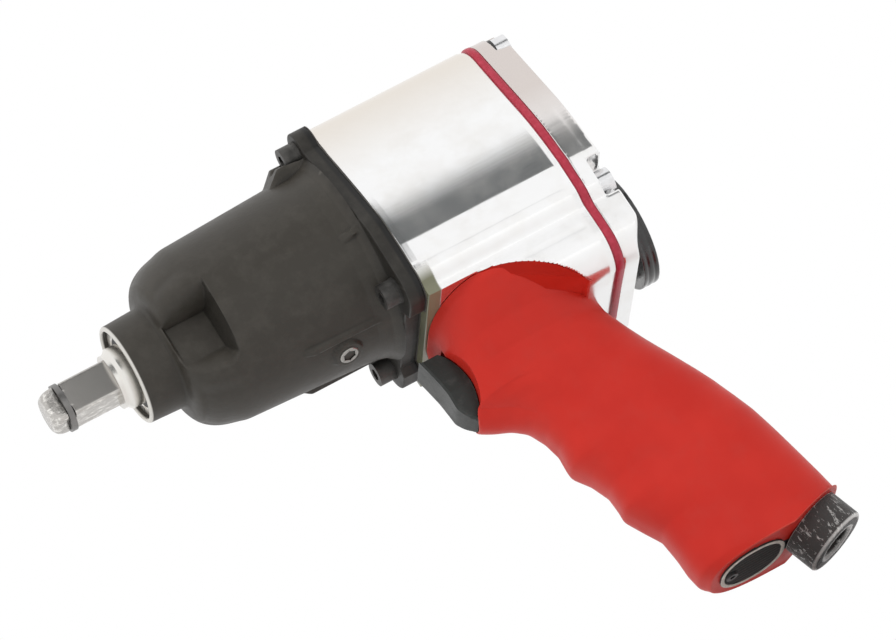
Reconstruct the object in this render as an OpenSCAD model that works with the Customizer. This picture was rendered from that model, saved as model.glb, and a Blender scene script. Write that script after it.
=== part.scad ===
// Pneumatic impact wrench with a half inch square drive, a twin hammer
// mechanism, a vane motor and a pistol grip with its air inlet at the bottom.
// The origin is on the spindle axis at the shoulder of the square drive.
// +X runs forward out of the drive, +Y is the tool's left and +Z is up.

/* [Square drive and anvil] */
// Width across the flats of the square drive
drive_w = 12.7; // [12.6:0.05:12.8]
// Length of the square from its shoulder to its tip
drive_l = 24.6; // [21:0.2:30]
// Radius that takes the sharp corners off the square
drive_round_r = 8.6; // [8.2:0.1:8.9]
// Length of the tapered pilot at the tip
pilot_l = 4.6; // [3:0.1:7]
// Radius at the very tip
tip_r = 5.4; // [4:0.1:6]
// Radius of the collar behind the square
collar_r = 9.7; // [9.2:0.1:10.5]
// Length of that collar
collar_l = 1.5; // [1:0.1:3]
// Radius of the journal that turns in the nose bushing
journal_r = 11; // [10.6:0.1:12]
// Distance from the tip to the middle of the socket ring's groove
ring_back = 6.4; // [5.6:0.1:8]
// Width of the groove for the socket ring
ring_groove_w = 2.6; // [2:0.1:3]
// Radius of the tail that steadies the anvil in the hammer cage
tail_r = 6.5; // [6.3:0.1:7.5]
// Radius over the two lugs that the hammers strike
lug_r = 14.4; // [13.6:0.1:14.5]
// Width of each lug
lug_w = 8; // [6:0.5:9]

/* [Hammer case] */
// Distance from the drive's shoulder back to the rim of the nose
nose_gap = 5.1; // [4.5:0.1:8]
// Radius of the nose
nose_r = 17.7; // [17:0.1:19]
// Length of the nose
nose_l = 13; // [11:0.5:14]
// Length of the rounded shoulder behind the nose
shoulder_l = 18; // [15:0.5:20]
// Radius of the case behind the shoulder
case_front_r = 31.6; // [31.4:0.1:33]
// Radius of the case in front of the flange
case_rear_r = 33.9; // [33:0.1:34.2]
// Length of the whole case
case_l = 92.2; // [92.2:0.2:98]
// Thickness of the flange
flange_t = 6; // [5:0.5:8]
// How far the flange stays inside the motor housing's outline
flange_inset = 0.6; // [0:0.1:1.5]
// Radius of the lobes round the flange's screws
lobe_r = 7.2; // [6.8:0.1:8]
// Radius of the room that the hammers turn in
room_r = 28.6; // [28.3:0.1:29]
// Outer radius of the nose bushing
bushing_r = 14; // [13.4:0.1:14.6]
// Radius of the bushing's front flange
bushing_flange_r = 16.2; // [15.6:0.1:16.6]
// Depth of the nose's lip in front of the bushing
bushing_recess = 2.1; // [0.4:0.1:3]
// Radius of the oil plug's thread
plug_r = 3.4; // [2.5:0.1:4]
// Distance from the flange's rear face to the oil plug
plug_back = 25.9; // [18:0.1:40]
// How far round from the bottom the oil plug lies, in degrees
plug_turn = 14; // [0:1:20]
// Depth of the flange's lower edge between its screws
flange_low_z = 35.2; // [34:0.1:37]
// Radius out to the top of the bosses in front of the upper screws
screw_boss_r = 38.3; // [36:0.1:40]
// Width of those bosses
screw_boss_w = 11; // [8:0.5:13]

/* [Screws] */
// Sideways distance of the upper screws from the spindle
upper_screw_y = 18; // [17.5:0.1:19]
// Height of the upper screws above the spindle
upper_screw_z = 35; // [34.6:0.1:36]
// Sideways distance of the lower screws from the spindle
lower_screw_y = 30.5; // [30:0.1:32]
// Depth of the lower screws below the spindle
lower_screw_z = 29.5; // [29:0.1:30.5]
// Radius of the screws' shanks
screw_r = 2.5; // [2:0.1:2.6]
// Radius of the screws' heads
head_r = 4.4; // [4:0.1:4.6]
// Height of the screws' heads
head_l = 5; // [4:0.1:5.4]
// Width across the flats of the hexagon socket
hex_w = 4; // [3:0.1:4.5]
// Thickness of the spring washers
washer_t = 1.1; // [0.8:0.1:1.4]
// Length of thread in the motor housing
thread_l = 14; // [10:0.5:18]

/* [Motor housing] */
// Length of the motor housing between its two gaskets
housing_l = 61.6; // [60.6:0.2:66]
// Radius of the outline's upper corners
top_r = 12; // [11:0.2:13]
// How far the upper corners' centres lie inside the upper screws
top_in = 5; // [4.5:0.1:5.5]
// Sideways distance of the outline's widest arcs
side_y = 23.5; // [22:0.5:25]
// Depth of the widest arcs below the spindle
side_z = 12; // [9:0.5:14]
// Radius of the widest arcs
side_r = 17; // [16:0.5:18]
// Radius of the outline round the lower screws
low_r = 9; // [8:0.2:10]
// Sideways distance of the rear foot's corners
foot_y = 25.5; // [21:0.5:27]
// Depth of the rear foot's corners below the spindle
foot_z = 47; // [45:0.5:50]
// Radius of the rear foot's corners
foot_r = 11.3; // [10:0.1:12]
// Thickness of the front gasket
front_gasket_t = 0.4; // [0.3:0.1:1]
// Thickness of the red rear gasket
rear_gasket_t = 2.6; // [2:0.1:3.4]
// Length of the rear cover at its upper edge
cover_top_l = 9.8; // [7:0.2:11]
// Length of the rear cover at its lower screws
cover_low_l = 12.2; // [11:0.2:15]
// Length of the rear cover behind the reverse dial
cover_foot_l = 10.6; // [9:0.2:11]
// Length of the rear screws' seats from the gasket
rear_seat_l = 5.4; // [4.6:0.2:6]

/* [Air motor] */
// Outer radius of the cylinder, which fills the housing's bore
cylinder_r = 28; // [27.8:0.1:28.3]
// Mean thickness of the cylinder's wall round its eccentric bore
liner_t = 5; // [4.6:0.1:6]
// How far the cylinder's bore lies below the spindle
bore_drop = 2.4; // [2.2:0.1:2.45]
// Clearance between the rotor and the bore where they are closest
rotor_gap = 0.1; // [0.05:0.01:0.2]
// Thickness of the front end plate
front_plate_t = 9.5; // [9.2:0.1:11]
// Thickness of the rear end plate
rear_plate_t = 8; // [7.6:0.1:9]
// Radius of the front end plate's rim
plate_rim_r = 31; // [30:0.1:31.4]
// Thickness of that rim
plate_rim_t = 3; // [2:0.1:4]
// Number of vanes
vanes_n = 6; // [4:1:7]
// Thickness of a vane
vane_t = 2.1; // [1.6:0.1:2.6]
// Radius of the bottom of the vane slots
slot_r = 11; // [10:0.1:12]
// Radius of the rotor's shafts
shaft_r = 6; // [5.6:0.1:6.2]
// Width of the two ball bearings
bearing_w = 7.4; // [6.6:0.1:7.4]
// Outer radius of the two ball bearings
bearing_r = 14; // [13.6:0.1:14.6]
// Radius of a bearing ball
ball_r = 2.35; // [2:0.05:2.4]
// Number of balls in a bearing
balls_n = 8; // [6:1:9]

/* [Hammer mechanism] */
// Outer radius of the hammer cage
cage_r = 27.5; // [27:0.1:27.8]
// Distance from the case's rear face to the cage
cage_gap = 4; // [3.6:0.1:5]
// Thickness of the cage's rear plate
cage_rear_t = 8; // [7:0.2:9]
// Thickness of the cage's front plate
cage_front_t = 6.8; // [6:0.2:8]
// Thickness of each hammer
hammer_t = 17.3; // [16.5:0.1:18]
// Outer radius of each hammer
hammer_r = 25.2; // [25:0.1:25.4]
// Half of each hammer's width across its flats
hammer_flat = 21.3; // [20.8:0.1:21.5]
// Radius of each hammer's bore
hammer_bore_r = 15.2; // [15.2:0.1:15.6]
// Distance of the hammer pins from the spindle
pin_offset = 20.5; // [20.3:0.1:20.8]
// Radius of the hammer pins
pin_r = 2.8; // [2.4:0.1:2.9]
// Distance of the cage's side struts from the middle plane
strut_y = 24.7; // [24.6:0.1:25.2]
// Thickness of the thrust washer in front of the cage
thrust_t = 1.6; // [1.2:0.1:1.9]

/* [Grip and air inlet] */
// Thickness of the rubber in front of and behind the handle
rubber_t = 3.5; // [2.5:0.1:4]
// Half width of the handle's casting inside the rubber
core_half_w = 12.6; // [11.6:0.2:12.8]
// Height of the handle's flat bottom below the spindle
grip_bottom = 160.5; // [156:0.5:166]
// Rake of the handle from the vertical, in degrees
rake = 18.5; // [17.5:0.1:19]
// Radius of the arch where the rubber meets the silver housing
arch_r = 47.5; // [45:0.5:50]
// Radius of the air inlet
inlet_r = 12.1; // [11.5:0.1:12.6]
// Radius of the air inlet's quarter inch pipe thread
inlet_hole_r = 5.7; // [5.2:0.05:6]
// Depth of that thread
inlet_hole_l = 13; // [10:0.5:14]
// Length of the air inlet outside the rubber
inlet_l = 12; // [10:0.5:15]
// Radius of the air passage in the handle
passage_r = 7.5; // [7:0.1:8]
// Length of the inlet's neck inside the handle
inlet_neck_l = 20; // [16:0.5:20]
// Length of the exhaust channel along the tool
channel_l = 10.7; // [8:0.1:11]
// Width of the exhaust channel
channel_w = 16; // [12:0.2:16.4]
// Height of the exhaust muffler
muffler_h = 30; // [20:1:40]
// Length of the exhaust plate along the tool
plate_l = 24.6; // [22:0.2:28]
// Width of the exhaust plate
plate_w = 25; // [18:0.5:26]
// Thickness of the exhaust plate
plate_t = 3; // [2:0.2:4]
// Width of the plate's raised rim
rim_w = 1.6; // [1:0.1:2.5]
// Height of the plate's raised rim
rim_h = 0.8; // [0.4:0.1:1.2]
// Number of exhaust louvres
louvres_n = 4; // [3:1:5]

/* [Trigger and throttle] */
// Width of the trigger
trigger_w = 16; // [14:0.5:17]
// How far the trigger travels
trigger_travel = 5; // [4:0.5:5]
// Radius of the arc behind the trigger
trigger_arc_r = 22; // [21:0.5:23]
// Depth of the throttle rod below the spindle
rod_z = 60; // [58:0.5:62]
// Radius of the throttle rod
rod_r = 2.5; // [2:0.1:2.8]
// Distance of the valve seat below the spindle
seat_z = 88; // [86:0.5:92]
// Radius of the tilt valve's disc
valve_r = 6.6; // [6.4:0.1:6.7]
// Radius of the valve's stem
stem_r = 1.5; // [1.2:0.1:1.8]

/* [Reverse valve] */
// Wall between the motor's bore and the reverse valve's bushing
reverse_wall_t = 1.2; // [1:0.1:3]
// Outer radius of the reverse valve's bushing
reverse_bushing_r = 7; // [6.6:0.1:7.1]
// Radius of the reverse valve
reverse_valve_r = 5.4; // [5:0.1:5.6]
// Radius of the dial
dial_r = 20.7; // [19:0.1:21]
// Thickness of the dial
dial_t = 6; // [4.4:0.1:7]
// Width of the dial's flat rim round its grip bar
dial_rim_w = 3.6; // [2:0.1:6]
// Depth of the two hollows beside the dial's grip bar
dial_hollow = 3; // [1:0.1:4]
// Radius of the detent ball
detent_r = 1.8; // [1.5:0.1:2]

/* [Fits] */
// Radial clearance of a running fit
running = 0.06; // [0.02:0.01:0.09]
// Gap between pieces that move past each other
gap = 0.3; // [0.25:0.05:0.4]

/* [Hidden] */
$fn = 72;
eps = 0.5;
// Beyond the tool's sides
side_reach = 65;

// Stations along the spindle, from the front to the rear
nose_x = -nose_gap;
flange_x = nose_x - case_l;
housing_x = flange_x - front_gasket_t;
gasket_x = housing_x - housing_l;
cover_x = gasket_x - rear_gasket_t;
shoulder_x = nose_x - nose_l;
body_x = shoulder_x - shoulder_l;
flange_front_x = flange_x + flange_t;
rear_seat_x = cover_x - rear_seat_l;
dial_x = cover_x - cover_foot_l - gap;

// Stations of the hammer mechanism
cage_x = flange_x + cage_gap;
cage_plate_x = cage_x + cage_rear_t;
rear_hammer_x = cage_plate_x + gap;
front_hammer_x = rear_hammer_x + hammer_t + gap;
cage_front_x = front_hammer_x + hammer_t + gap;
cage_end_x = cage_front_x + cage_front_t;
room_x = cage_end_x + gap + thrust_t;

// Stations of the air motor
front_plate_x = housing_x - front_plate_t;
rear_plate_x = gasket_x + rear_plate_t;
liner_l = front_plate_x - rear_plate_x;
cylinder_bore_r = cylinder_r - liner_t;
rotor_r = cylinder_bore_r - bore_drop - rotor_gap;
reverse_z = cylinder_r + reverse_bushing_r + reverse_wall_t;
ball_ring_r = (shaft_r + bearing_r) / 2;
race_t = (bearing_r - shaft_r) * 0.3;
front_bearing_x = housing_x - gap - bearing_w;
rear_bearing_x = gasket_x + gap;

// Screw centres as Y and Z pairs
screw_places = [
    for (side = [-1, 1]) each [
        [side * upper_screw_y, upper_screw_z],
        [side * lower_screw_y, -lower_screw_z]
    ]
];

// The handle's stations are given for a housing that starts at -97.7, and move with it
handle_x = housing_x + 97.7;

// The handle leans back along this direction
lean = [-sin(rake), 0, -cos(rake)];
// Power of the grip's rounded sections, where 1 is an ellipse
grip_square = 0.8;

// Stations down the grip: height, front, rear and half width
grip_stations = [
    [-37, -100, -157, 37.6], [-42, -100, -156, 36.6], [-47, -99.4, -155, 32.5],
    [-54, -98, -153, 25.8], [-62, -96, -154.4, 21], [-70, -95.4, -158, 19],
    [-75.6, -96.4, -160.7, 18.3], [-78, -100, -161.8, 18.1], [-80.6, -106.5, -163, 18],
    [-84, -111.2, -164.7, 18], [-89, -114.1, -167.2, 18], [-95, -115.5, -170.2, 18],
    [-101, -115.1, -173, 18], [-103.6, -115.2, -174, 17.9], [-109, -119.1, -176.1, 17.8],
    [-116, -122, -178.7, 17.6], [-122, -122.3, -180.3, 17.5], [-125.6, -122.1, -181.2, 17.5],
    [-132, -125.6, -182.6, 17.4], [-138, -129.1, -183.9, 17.3], [-146, -130, -185.6, 17.3],
    [-153, -130.2, -186.9, 17.6], [-158, -131.2, -187.6, 18], [-grip_bottom, -134, -188, 18.2]
];
core_top = 10;

// Where the rubber's arch is centred
arch_x = -110;
arch_z = -39 - arch_r;

// The air inlet's end and the exhaust plate's middle
foot_shift = (160.5 - grip_bottom) * tan(rake);
inlet_end = [-178.3 + foot_shift, 0, -grip_bottom - 8.2];
inlet_cut = inlet_end - inlet_l * lean;
plate_x = -150.1 + foot_shift;
plate_corner_r = 11.2;

// Arc behind the trigger
trigger_arc_x = -79.5;
trigger_arc_z = -61.3;
trigger_top_z = -46.6;

// The valve seat lies where the inlet's axis reaches its height
seat_at = inlet_end - lean * ((inlet_end[2] + seat_z) / lean[2]);
rod_ball_x = inlet_end[0] + (-rod_z - inlet_end[2]) * tan(rake) + (rod_r + stem_r + 0.02) / cos(rake);

module along(x0, l) translate([x0, 0, 0]) rotate([90, 0, 90]) linear_extrude(l) children();
module across(w) translate([0, w / 2, 0]) rotate([90, 0, 0]) linear_extrude(w) children();
module turned() rotate([0, 90, 0]) rotate_extrude() children();
module rod_x(x0, l, r) translate([x0, 0, 0]) rotate([0, 90, 0]) cylinder(h = l, r = r);
module at_screws(x0) for (p = screw_places) translate([x0, p[0], p[1]]) children();
module leaned(at) translate(at) rotate([0, rake, 0]) children();
module on_handle() translate([handle_x, 0, 0]) children();
module ring_x(x0, l, r_out, r_in) difference() {
    rod_x(x0, l, r_out);
    rod_x(x0 - eps, l + 2 * eps, r_in);
}
module o_ring(r, t) rotate_extrude() translate([r, 0]) circle(r = t, $fn = 24);

// Outline of the motor housing in front of its foot
module barrel_outline(grow = 0) hull() for (side = [-1, 1]) {
    translate([side * (upper_screw_y - top_in), upper_screw_z - top_in]) circle(r = top_r + grow);
    translate([side * side_y, -side_z]) circle(r = side_r + grow);
    translate([side * lower_screw_y, -lower_screw_z]) circle(r = low_r + grow);
}

// Outline at the rear gasket, with the foot that carries the reverse valve
module rear_outline(grow = 0) {
    barrel_outline(grow);
    hull() for (side = [-1, 1]) {
        translate([side * foot_y, -foot_z]) circle(r = foot_r + grow);
        translate([side * foot_y, -lower_screw_z]) circle(r = foot_r + grow);
    }
}

// Outline of the case's flange and its gasket
module flange_outline() {
    difference() {
        barrel_outline(-flange_inset);
        translate([-22, -60]) square([44, 60 - flange_low_z]);
    }
    screw_2d_holes(lobe_r);
}

module screw_2d_holes(r) for (p = screw_places) translate(p) circle(r = r, $fn = 36);

module socket_screw(l) {
    rod_x(0, l, screw_r);
    difference() {
        rod_x(-head_l, head_l, head_r);
        translate([-head_l - eps, 0, 0]) rotate([0, 90, 0])
            cylinder(h = head_l * 0.55 + eps, d = hex_w / cos(30), $fn = 6);
    }
}

module spring_washer() difference() {
    rod_x(0, washer_t, head_r + 0.2);
    rod_x(-eps, washer_t + 2 * eps, screw_r + 0.1);
}

// Outline of the case from its nose to the flange, as radius and station
function case_outline() = concat(
    [[0, nose_x], [nose_r - 0.7, nose_x], [nose_r, nose_x - 0.7], [nose_r + 0.5, shoulder_x]],
    [for (a = [0:10:90]) [
        nose_r + 2 + (case_front_r - nose_r - 2) * sin(a),
        shoulder_x - 1 - (shoulder_l - 1) * (1 - cos(a))
    ]],
    [[case_rear_r, flange_front_x + 8], [case_rear_r + 2.6, flange_front_x], [case_rear_r + 2.6, flange_x + 1],
        [0, flange_x + 1]]
);

module hammer_case() color([0.19, 0.18, 0.165]) difference() {
    union() {
        difference() {
            turned() polygon(case_outline());
            // A cast pocket on each side lightens the shoulder
            for (side = [-1, 1]) translate([0, side * (nose_r + 9), 0]) across(18)
                polygon([[shoulder_x - 0.8, 3], [body_x - 1.1, 5], [body_x - 0.8, -17],
                    [body_x + 3.6, -21], [shoulder_x - 0.8, -19.5]]);
        }
        // The nose's flat pads run back into the pockets
        for (side = [-1, 1]) translate([body_x + 4.5, side * (nose_r - 7), -7])
            translate([0, -8.2, -6]) cube([shoulder_l - 1.5, 16.4, 13.5]);
        along(flange_x, flange_t) flange_outline();
        // Bosses in front of the upper screws
        for (side = [-1, 1]) rotate([-side * atan(upper_screw_y / upper_screw_z), 0, 0])
            across(screw_boss_w) polygon([[flange_front_x - 0.5, room_r + 1],
                [flange_front_x - 0.5, screw_boss_r], [flange_front_x + 10, screw_boss_r],
                [flange_front_x + 16, case_rear_r - 1.4], [flange_front_x + 16, room_r + 1]]);
        // Gussets behind the body's sides and ridges below them
        for (side = [-1, 1]) {
            translate([flange_front_x - 0.5, side * (case_rear_r + 0.6) - 2.5, -7.5]) cube([8.5, 5, 3]);
            rotate([side * -28, 0, 0]) translate([flange_front_x - 1, -1.5, -case_rear_r - 0.6])
                cube([36, 3, 4]);
        }
        at_plug(-0.6) cylinder(h = 4, r = plug_r + 2);
    }
    // Room for the hammers, then the bushing's seat
    turned() polygon([[0, flange_x - eps], [room_r, flange_x - eps], [room_r, room_x - 3],
        [room_r - 3, room_x], [0, room_x]]);
    rod_x(room_x - eps, -room_x + eps, bushing_r);
    rod_x(nose_x - bushing_recess - 1.5, bushing_recess + 1.5 + eps, bushing_flange_r);
    at_screws(flange_x - eps) rod_x(0, flange_t + 2 * eps, screw_r + 0.2);
    // Room for the screws' heads, with grooves that let the key in
    at_screws(flange_front_x) rod_x(0, head_l + washer_t + 0.6, head_r + 0.9);
    at_screws(flange_front_x) rod_x(0, 20, hex_w / 2 + 0.8);
    at_plug(-2) cylinder(h = 10, r = plug_r);
}

module at_plug(up) rotate([plug_turn, 0, 0])
    translate([flange_x + plug_back, 0, up - case_rear_r]) children();

module nose_bushing() color([0.78, 0.76, 0.72]) difference() {
    union() {
        rod_x(nose_x - bushing_recess - 1.5, 1.5, bushing_flange_r);
        rod_x(room_x, nose_x - bushing_recess - 1.5 - room_x, bushing_r);
    }
    rod_x(room_x - eps, -room_x, journal_r + running);
    rod_x(nose_x - bushing_recess - 1.5, 2, journal_r + 2);
}

module nose_seal() color([0.08, 0.08, 0.08])
    ring_x(nose_x - bushing_recess - 1.5, 1.2, journal_r + 2, journal_r + running);

module front_gasket() color([0.35, 0.33, 0.3]) along(housing_x, front_gasket_t) difference() {
    flange_outline();
    circle(r = room_r);
    screw_2d_holes(screw_r + 0.2);
}

module case_screws() color([0.12, 0.12, 0.12]) for (p = screw_places)
    translate([flange_front_x + washer_t, p[0], p[1]]) rotate([0, 0, 180])
        socket_screw(washer_t + flange_t + front_gasket_t + thread_l - 1);

module case_screw_washers() color([0.3, 0.3, 0.3])
    at_screws(flange_front_x) spring_washer();

module oil_plug() color([0.3, 0.3, 0.3])
    at_plug(-1) difference() {
        cylinder(h = 5, r = plug_r);
        translate([0, 0, -eps]) cylinder(h = 2.5, d = 4 / cos(30), $fn = 6);
    }

// The handle's casting seen from the side, set in from the grip's outline
module core_side(inset) {
    last = len(grip_stations) - 1;
    polygon(concat(
        [for (i = [core_top:last]) [grip_stations[i][1] - inset, grip_stations[i][0]]],
        [for (i = [last:-1:4]) [grip_stations[i][2] + inset, grip_stations[i][0]]],
        [[-152, -50], [-152, -30], [-104, -30], [-104, -50],
            [trigger_arc_x - trigger_arc_r - rubber_t - inset, trigger_arc_z],
            [-104 - inset, -76]]
    ));
}

// Everything below this outline may be rubber, and the silver foot is above it
module rubber_side() {
    translate([arch_x, arch_z]) circle(r = arch_r);
    translate([arch_x, -200]) square([60, 200 + arch_z + arch_r]);
    translate([arch_x - 100, -200]) square([101, 200 - foot_z - foot_r - 0.6]);
}

module handle_core() {
    across(2 * (core_half_w - 4)) core_side(rubber_t);
    across(2 * core_half_w) core_side(rubber_t + 3.5);
    translate([-150, -28, -46]) cube([36, 56, 12]);
    translate([-150, -17, -55]) cube([44, 34, 15]);
}

// Flat bottom of the handle and the slanted face round the air inlet
module below_handle() {
    translate([-260, -40, -260]) cube([200, 80, 260 - grip_bottom]);
    leaned(inlet_cut) translate([-40, -40, -60]) cube([53, 80, 60]);
}

module exhaust_recess() translate([plate_x, 0, -grip_bottom - eps])
    linear_extrude(plate_t + eps) plate_outline(0);

module plate_outline(inset) hull() for (sx = [-1, 1], sy = [-1, 1])
    translate([sx * (plate_l / 2 - plate_corner_r), sy * (plate_w / 2 - plate_corner_r)])
        circle(r = plate_corner_r - inset, $fn = 32);

module trigger_side(shift = 0) translate([-shift, 0]) intersection() {
    polygon([[-90.1, trigger_top_z], [-91.2, -52], [-92.3, -58], [-92.7, -62], [-92.6, -67],
        [-92.5, -70], [-93.2, -72.2], [-95.2, -74.2], [-98, -75], [-110, -75], [-110, trigger_top_z]]);
    translate([trigger_arc_x, trigger_arc_z]) circle(r = trigger_arc_r);
}

module trigger_room() {
    translate([trigger_arc_x, 0, trigger_arc_z]) rotate([90, 0, 0])
        cylinder(h = 80, r = trigger_arc_r + gap, center = true);
    // Slot that the trigger slides back into
    hull() for (shift = [0, trigger_travel + 1]) translate([-shift, 0, 0])
        across(trigger_w + 2 * gap) translate([trigger_arc_x, trigger_arc_z]) intersection() {
            circle(r = trigger_arc_r + gap, $fn = 32);
            translate([-40, -14.6]) square([40, 14.6 - gap - trigger_arc_z + trigger_top_z + 2 * gap]);
        }
}

module motor_housing() color([0.82, 0.83, 0.84]) difference() {
    union() {
        along(gasket_x, housing_l) barrel_outline();
        intersection() {
            along(gasket_x, housing_l - 2) rear_outline();
            difference() {
                translate([gasket_x, -60, -80]) cube([housing_l - 4, 120, 60]);
                on_handle() across(2 * side_reach) rubber_side();
            }
        }
        on_handle() difference() {
            union() {
                handle_core();
                leaned(inlet_cut) cylinder(h = 21, r = inlet_r - 0.4);
            }
            below_handle();
            trigger_room();
        }
    }
    rod_x(gasket_x - eps, housing_l + 2 * eps, cylinder_r);
    rod_x(housing_x - plate_rim_t, plate_rim_t + eps, plate_rim_r);
    at_screws(housing_x - thread_l) rod_x(0, thread_l + eps, screw_r);
    at_screws(gasket_x - eps) rod_x(0, thread_l + eps, screw_r);
    // Reverse valve's bore, air passage, valve chamber and inlet
    translate([gasket_x - eps, 0, -reverse_z]) rod_x(0, 26 + eps, reverse_bushing_r);
    for (side = [-1, 1]) translate([gasket_x + 22, side * 3, -reverse_z])
        cylinder(h = 12, r = 1.6, $fn = 24);
    on_handle() {
        leaned(seat_at) {
            cylinder(h = 10, r = 5.5);
            translate([0, 0, 5.4]) cylinder(h = 42, r = 7.2);
            translate([0, 0, -100]) cylinder(h = 100 + eps, r = passage_r);
            translate([0, 0, -14]) cylinder(h = 14, r = 9);
        }
        leaned(inlet_end) cylinder(h = inlet_l + inlet_neck_l + 1, r = inlet_r - 3);
        // Rod's bore
        translate([-150, 0, -rod_z]) rod_x(10, 50, rod_r + 0.5);
        translate([-118, 0, -rod_z]) rod_x(0, 20, rod_r + 2.4);
        // Exhaust ducts, exhaust channel and the plate's recess
        for (side = [-1, 1]) translate([-128, side * 8.5, -102]) cylinder(h = 78, r = 3, $fn = 36);
        leaned([plate_x, 0, -grip_bottom]) translate([-6.5, -channel_w / 2, -8])
            cube([channel_l, channel_w, 76]);
        exhaust_recess();
        translate([plate_x + plate_l / 2 - 4, 0, -grip_bottom]) cylinder(h = 6.9, r = 1.5, $fn = 24);
    }
}

// Points round a grip station, flatter at the sides than an ellipse
function grip_ring(s, n) = [for (i = [0:n - 1]) let (
    a = 360 * i / n,
    c = cos(a),
    d = sin(a),
    mid = (s[1] + s[2]) / 2,
    half = (s[1] - s[2]) / 2
) [mid + half * sign(c) * pow(abs(c), grip_square), s[3] * sign(d) * pow(abs(d), grip_square), s[0]]];

module grip_loft() {
    n = 40;
    m = len(grip_stations);
    rings = [for (s = grip_stations) each grip_ring(s, n)];
    polyhedron(
        points = rings,
        faces = concat(
            [[for (i = [n - 1:-1:0]) i]],
            [[for (i = [0:n - 1]) (m - 1) * n + i]],
            [for (k = [0:m - 2], i = [0:n - 1]) each [
                [k * n + i, k * n + (i + 1) % n, (k + 1) * n + i],
                [k * n + (i + 1) % n, (k + 1) * n + (i + 1) % n, (k + 1) * n + i]
            ]]
        ),
        convexity = 6
    );
}

module grip_sleeve() color([0.78, 0.12, 0.09]) difference() {
    on_handle() intersection() {
        grip_loft();
        across(2 * side_reach) rubber_side();
    }
    along(gasket_x, housing_l) barrel_outline();
    on_handle() {
        // Above the trigger the rubber stops short of the case's flange
        translate([-102, -60, -57]) cube([20, 120, 30]);
        handle_core();
        below_handle();
        trigger_room();
        exhaust_recess();
        leaned(inlet_cut) cylinder(h = 21, r = inlet_r - 0.4);
        translate([-118, 0, -rod_z]) rod_x(0, 20, rod_r + 2.4 + gap);
    }
}

module rear_gasket() color([0.7, 0.05, 0.12]) along(cover_x, rear_gasket_t) difference() {
    rear_outline(-0.3);
    circle(r = cylinder_r + 0.2);
    screw_2d_holes(screw_r + 0.2);
    translate([0, -reverse_z]) circle(r = reverse_bushing_r + 0.2);
}

module rear_cover() color([0.82, 0.83, 0.84]) difference() {
    union() {
        intersection() {
            hull() {
                along(cover_x - cover_top_l + 3.2, cover_top_l - 3.2) barrel_outline(0);
                along(cover_x - cover_top_l + 0.9, 1) barrel_outline(-1);
                along(cover_x - cover_low_l, 1) barrel_outline(-2.6);
            }
            across(2 * side_reach) polygon([[cover_x, 60], [cover_x - cover_top_l, 60],
                [cover_x - cover_top_l, -6], [cover_x - cover_low_l, -lower_screw_z + 3],
                [cover_x - cover_low_l, -60], [cover_x, -60]]);
        }
        along(cover_x - cover_foot_l, cover_foot_l) rear_outline(-0.2);
        // Spigot that holds the motor's end plate
        ring_x(cover_x - 1, rear_gasket_t + 1, cylinder_r - 0.2, cylinder_r - 5);
    }
    // The dial sits in a recess below the crown
    translate([dial_x - 20, 0, -reverse_z]) rod_x(0, 20 + gap, dial_r + gap);
    at_screws(cover_x - 30) rod_x(0, 30 - rear_seat_l, head_r + 2.4);
    // The lower pockets open to the sides
    for (side = [-1, 1]) translate([cover_x - 30, side * (lower_screw_y + 7.5), -lower_screw_z])
        translate([0, -7.5, -head_r - 2.4]) cube([30 - rear_seat_l, 15, 2 * head_r + 4.8]);
    at_screws(cover_x - 30) rod_x(0, 31, screw_r + 0.2);
    translate([cover_x - 30, 0, -reverse_z]) rod_x(0, 31, reverse_valve_r + running);
    translate([cover_x - cover_foot_l - eps, 0, -reverse_z - 12]) rod_x(0, 6 + eps, detent_r);
}

module rear_cover_screws() color([0.75, 0.75, 0.76]) at_screws(rear_seat_x - washer_t)
    socket_screw(washer_t + rear_seat_l + rear_gasket_t + thread_l - 1);

module rear_screw_washers() color([0.6, 0.6, 0.6])
    at_screws(rear_seat_x - washer_t) spring_washer();

module cylinder_liner() color([0.6, 0.6, 0.58]) difference() {
    rod_x(rear_plate_x, liner_l, cylinder_r);
    translate([0, 0, -bore_drop]) rod_x(rear_plate_x - eps, liner_l + 2 * eps, cylinder_bore_r);
    // Exhaust holes below and inlet holes at the sides
    for (i = [-2:2], side = [-1, 1]) translate([rear_plate_x + liner_l / 2 + i * 7, side * 8.5, -cylinder_r])
        cylinder(h = 9, r = 1.6, $fn = 24);
    for (i = [-1:1], side = [-1, 1]) translate([rear_plate_x + liner_l / 2 + i * 9, 0, 6])
        rotate([side * -90, 0, 0]) cylinder(h = cylinder_r + 1, r = 1.4, $fn = 24);
    translate([rear_plate_x, 0, cylinder_r - 3.4]) rod_x(-eps, 6 + eps, 1.2);
}

module cylinder_pin() color([0.7, 0.7, 0.7])
    translate([rear_plate_x - 5, 0, cylinder_r - 3.4]) rod_x(0, 11, 1.2);

module front_end_plate() color([0.6, 0.6, 0.58]) difference() {
    union() {
        rod_x(front_plate_x, front_plate_t, cylinder_r);
        rod_x(housing_x - plate_rim_t, plate_rim_t, plate_rim_r);
    }
    rod_x(front_bearing_x, bearing_w + gap + eps, bearing_r);
    rod_x(front_plate_x - eps, front_plate_t, shaft_r + 1.5);
}

module rear_end_plate() color([0.6, 0.6, 0.58]) difference() {
    rod_x(gasket_x, rear_plate_t, cylinder_r);
    rod_x(gasket_x - eps, bearing_w + gap + eps, bearing_r);
    rod_x(gasket_x, rear_plate_t + eps, shaft_r + 1.5);
    translate([rear_plate_x - 5, 0, cylinder_r - 3.4]) rod_x(0, 6, 1.2);
}

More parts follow.
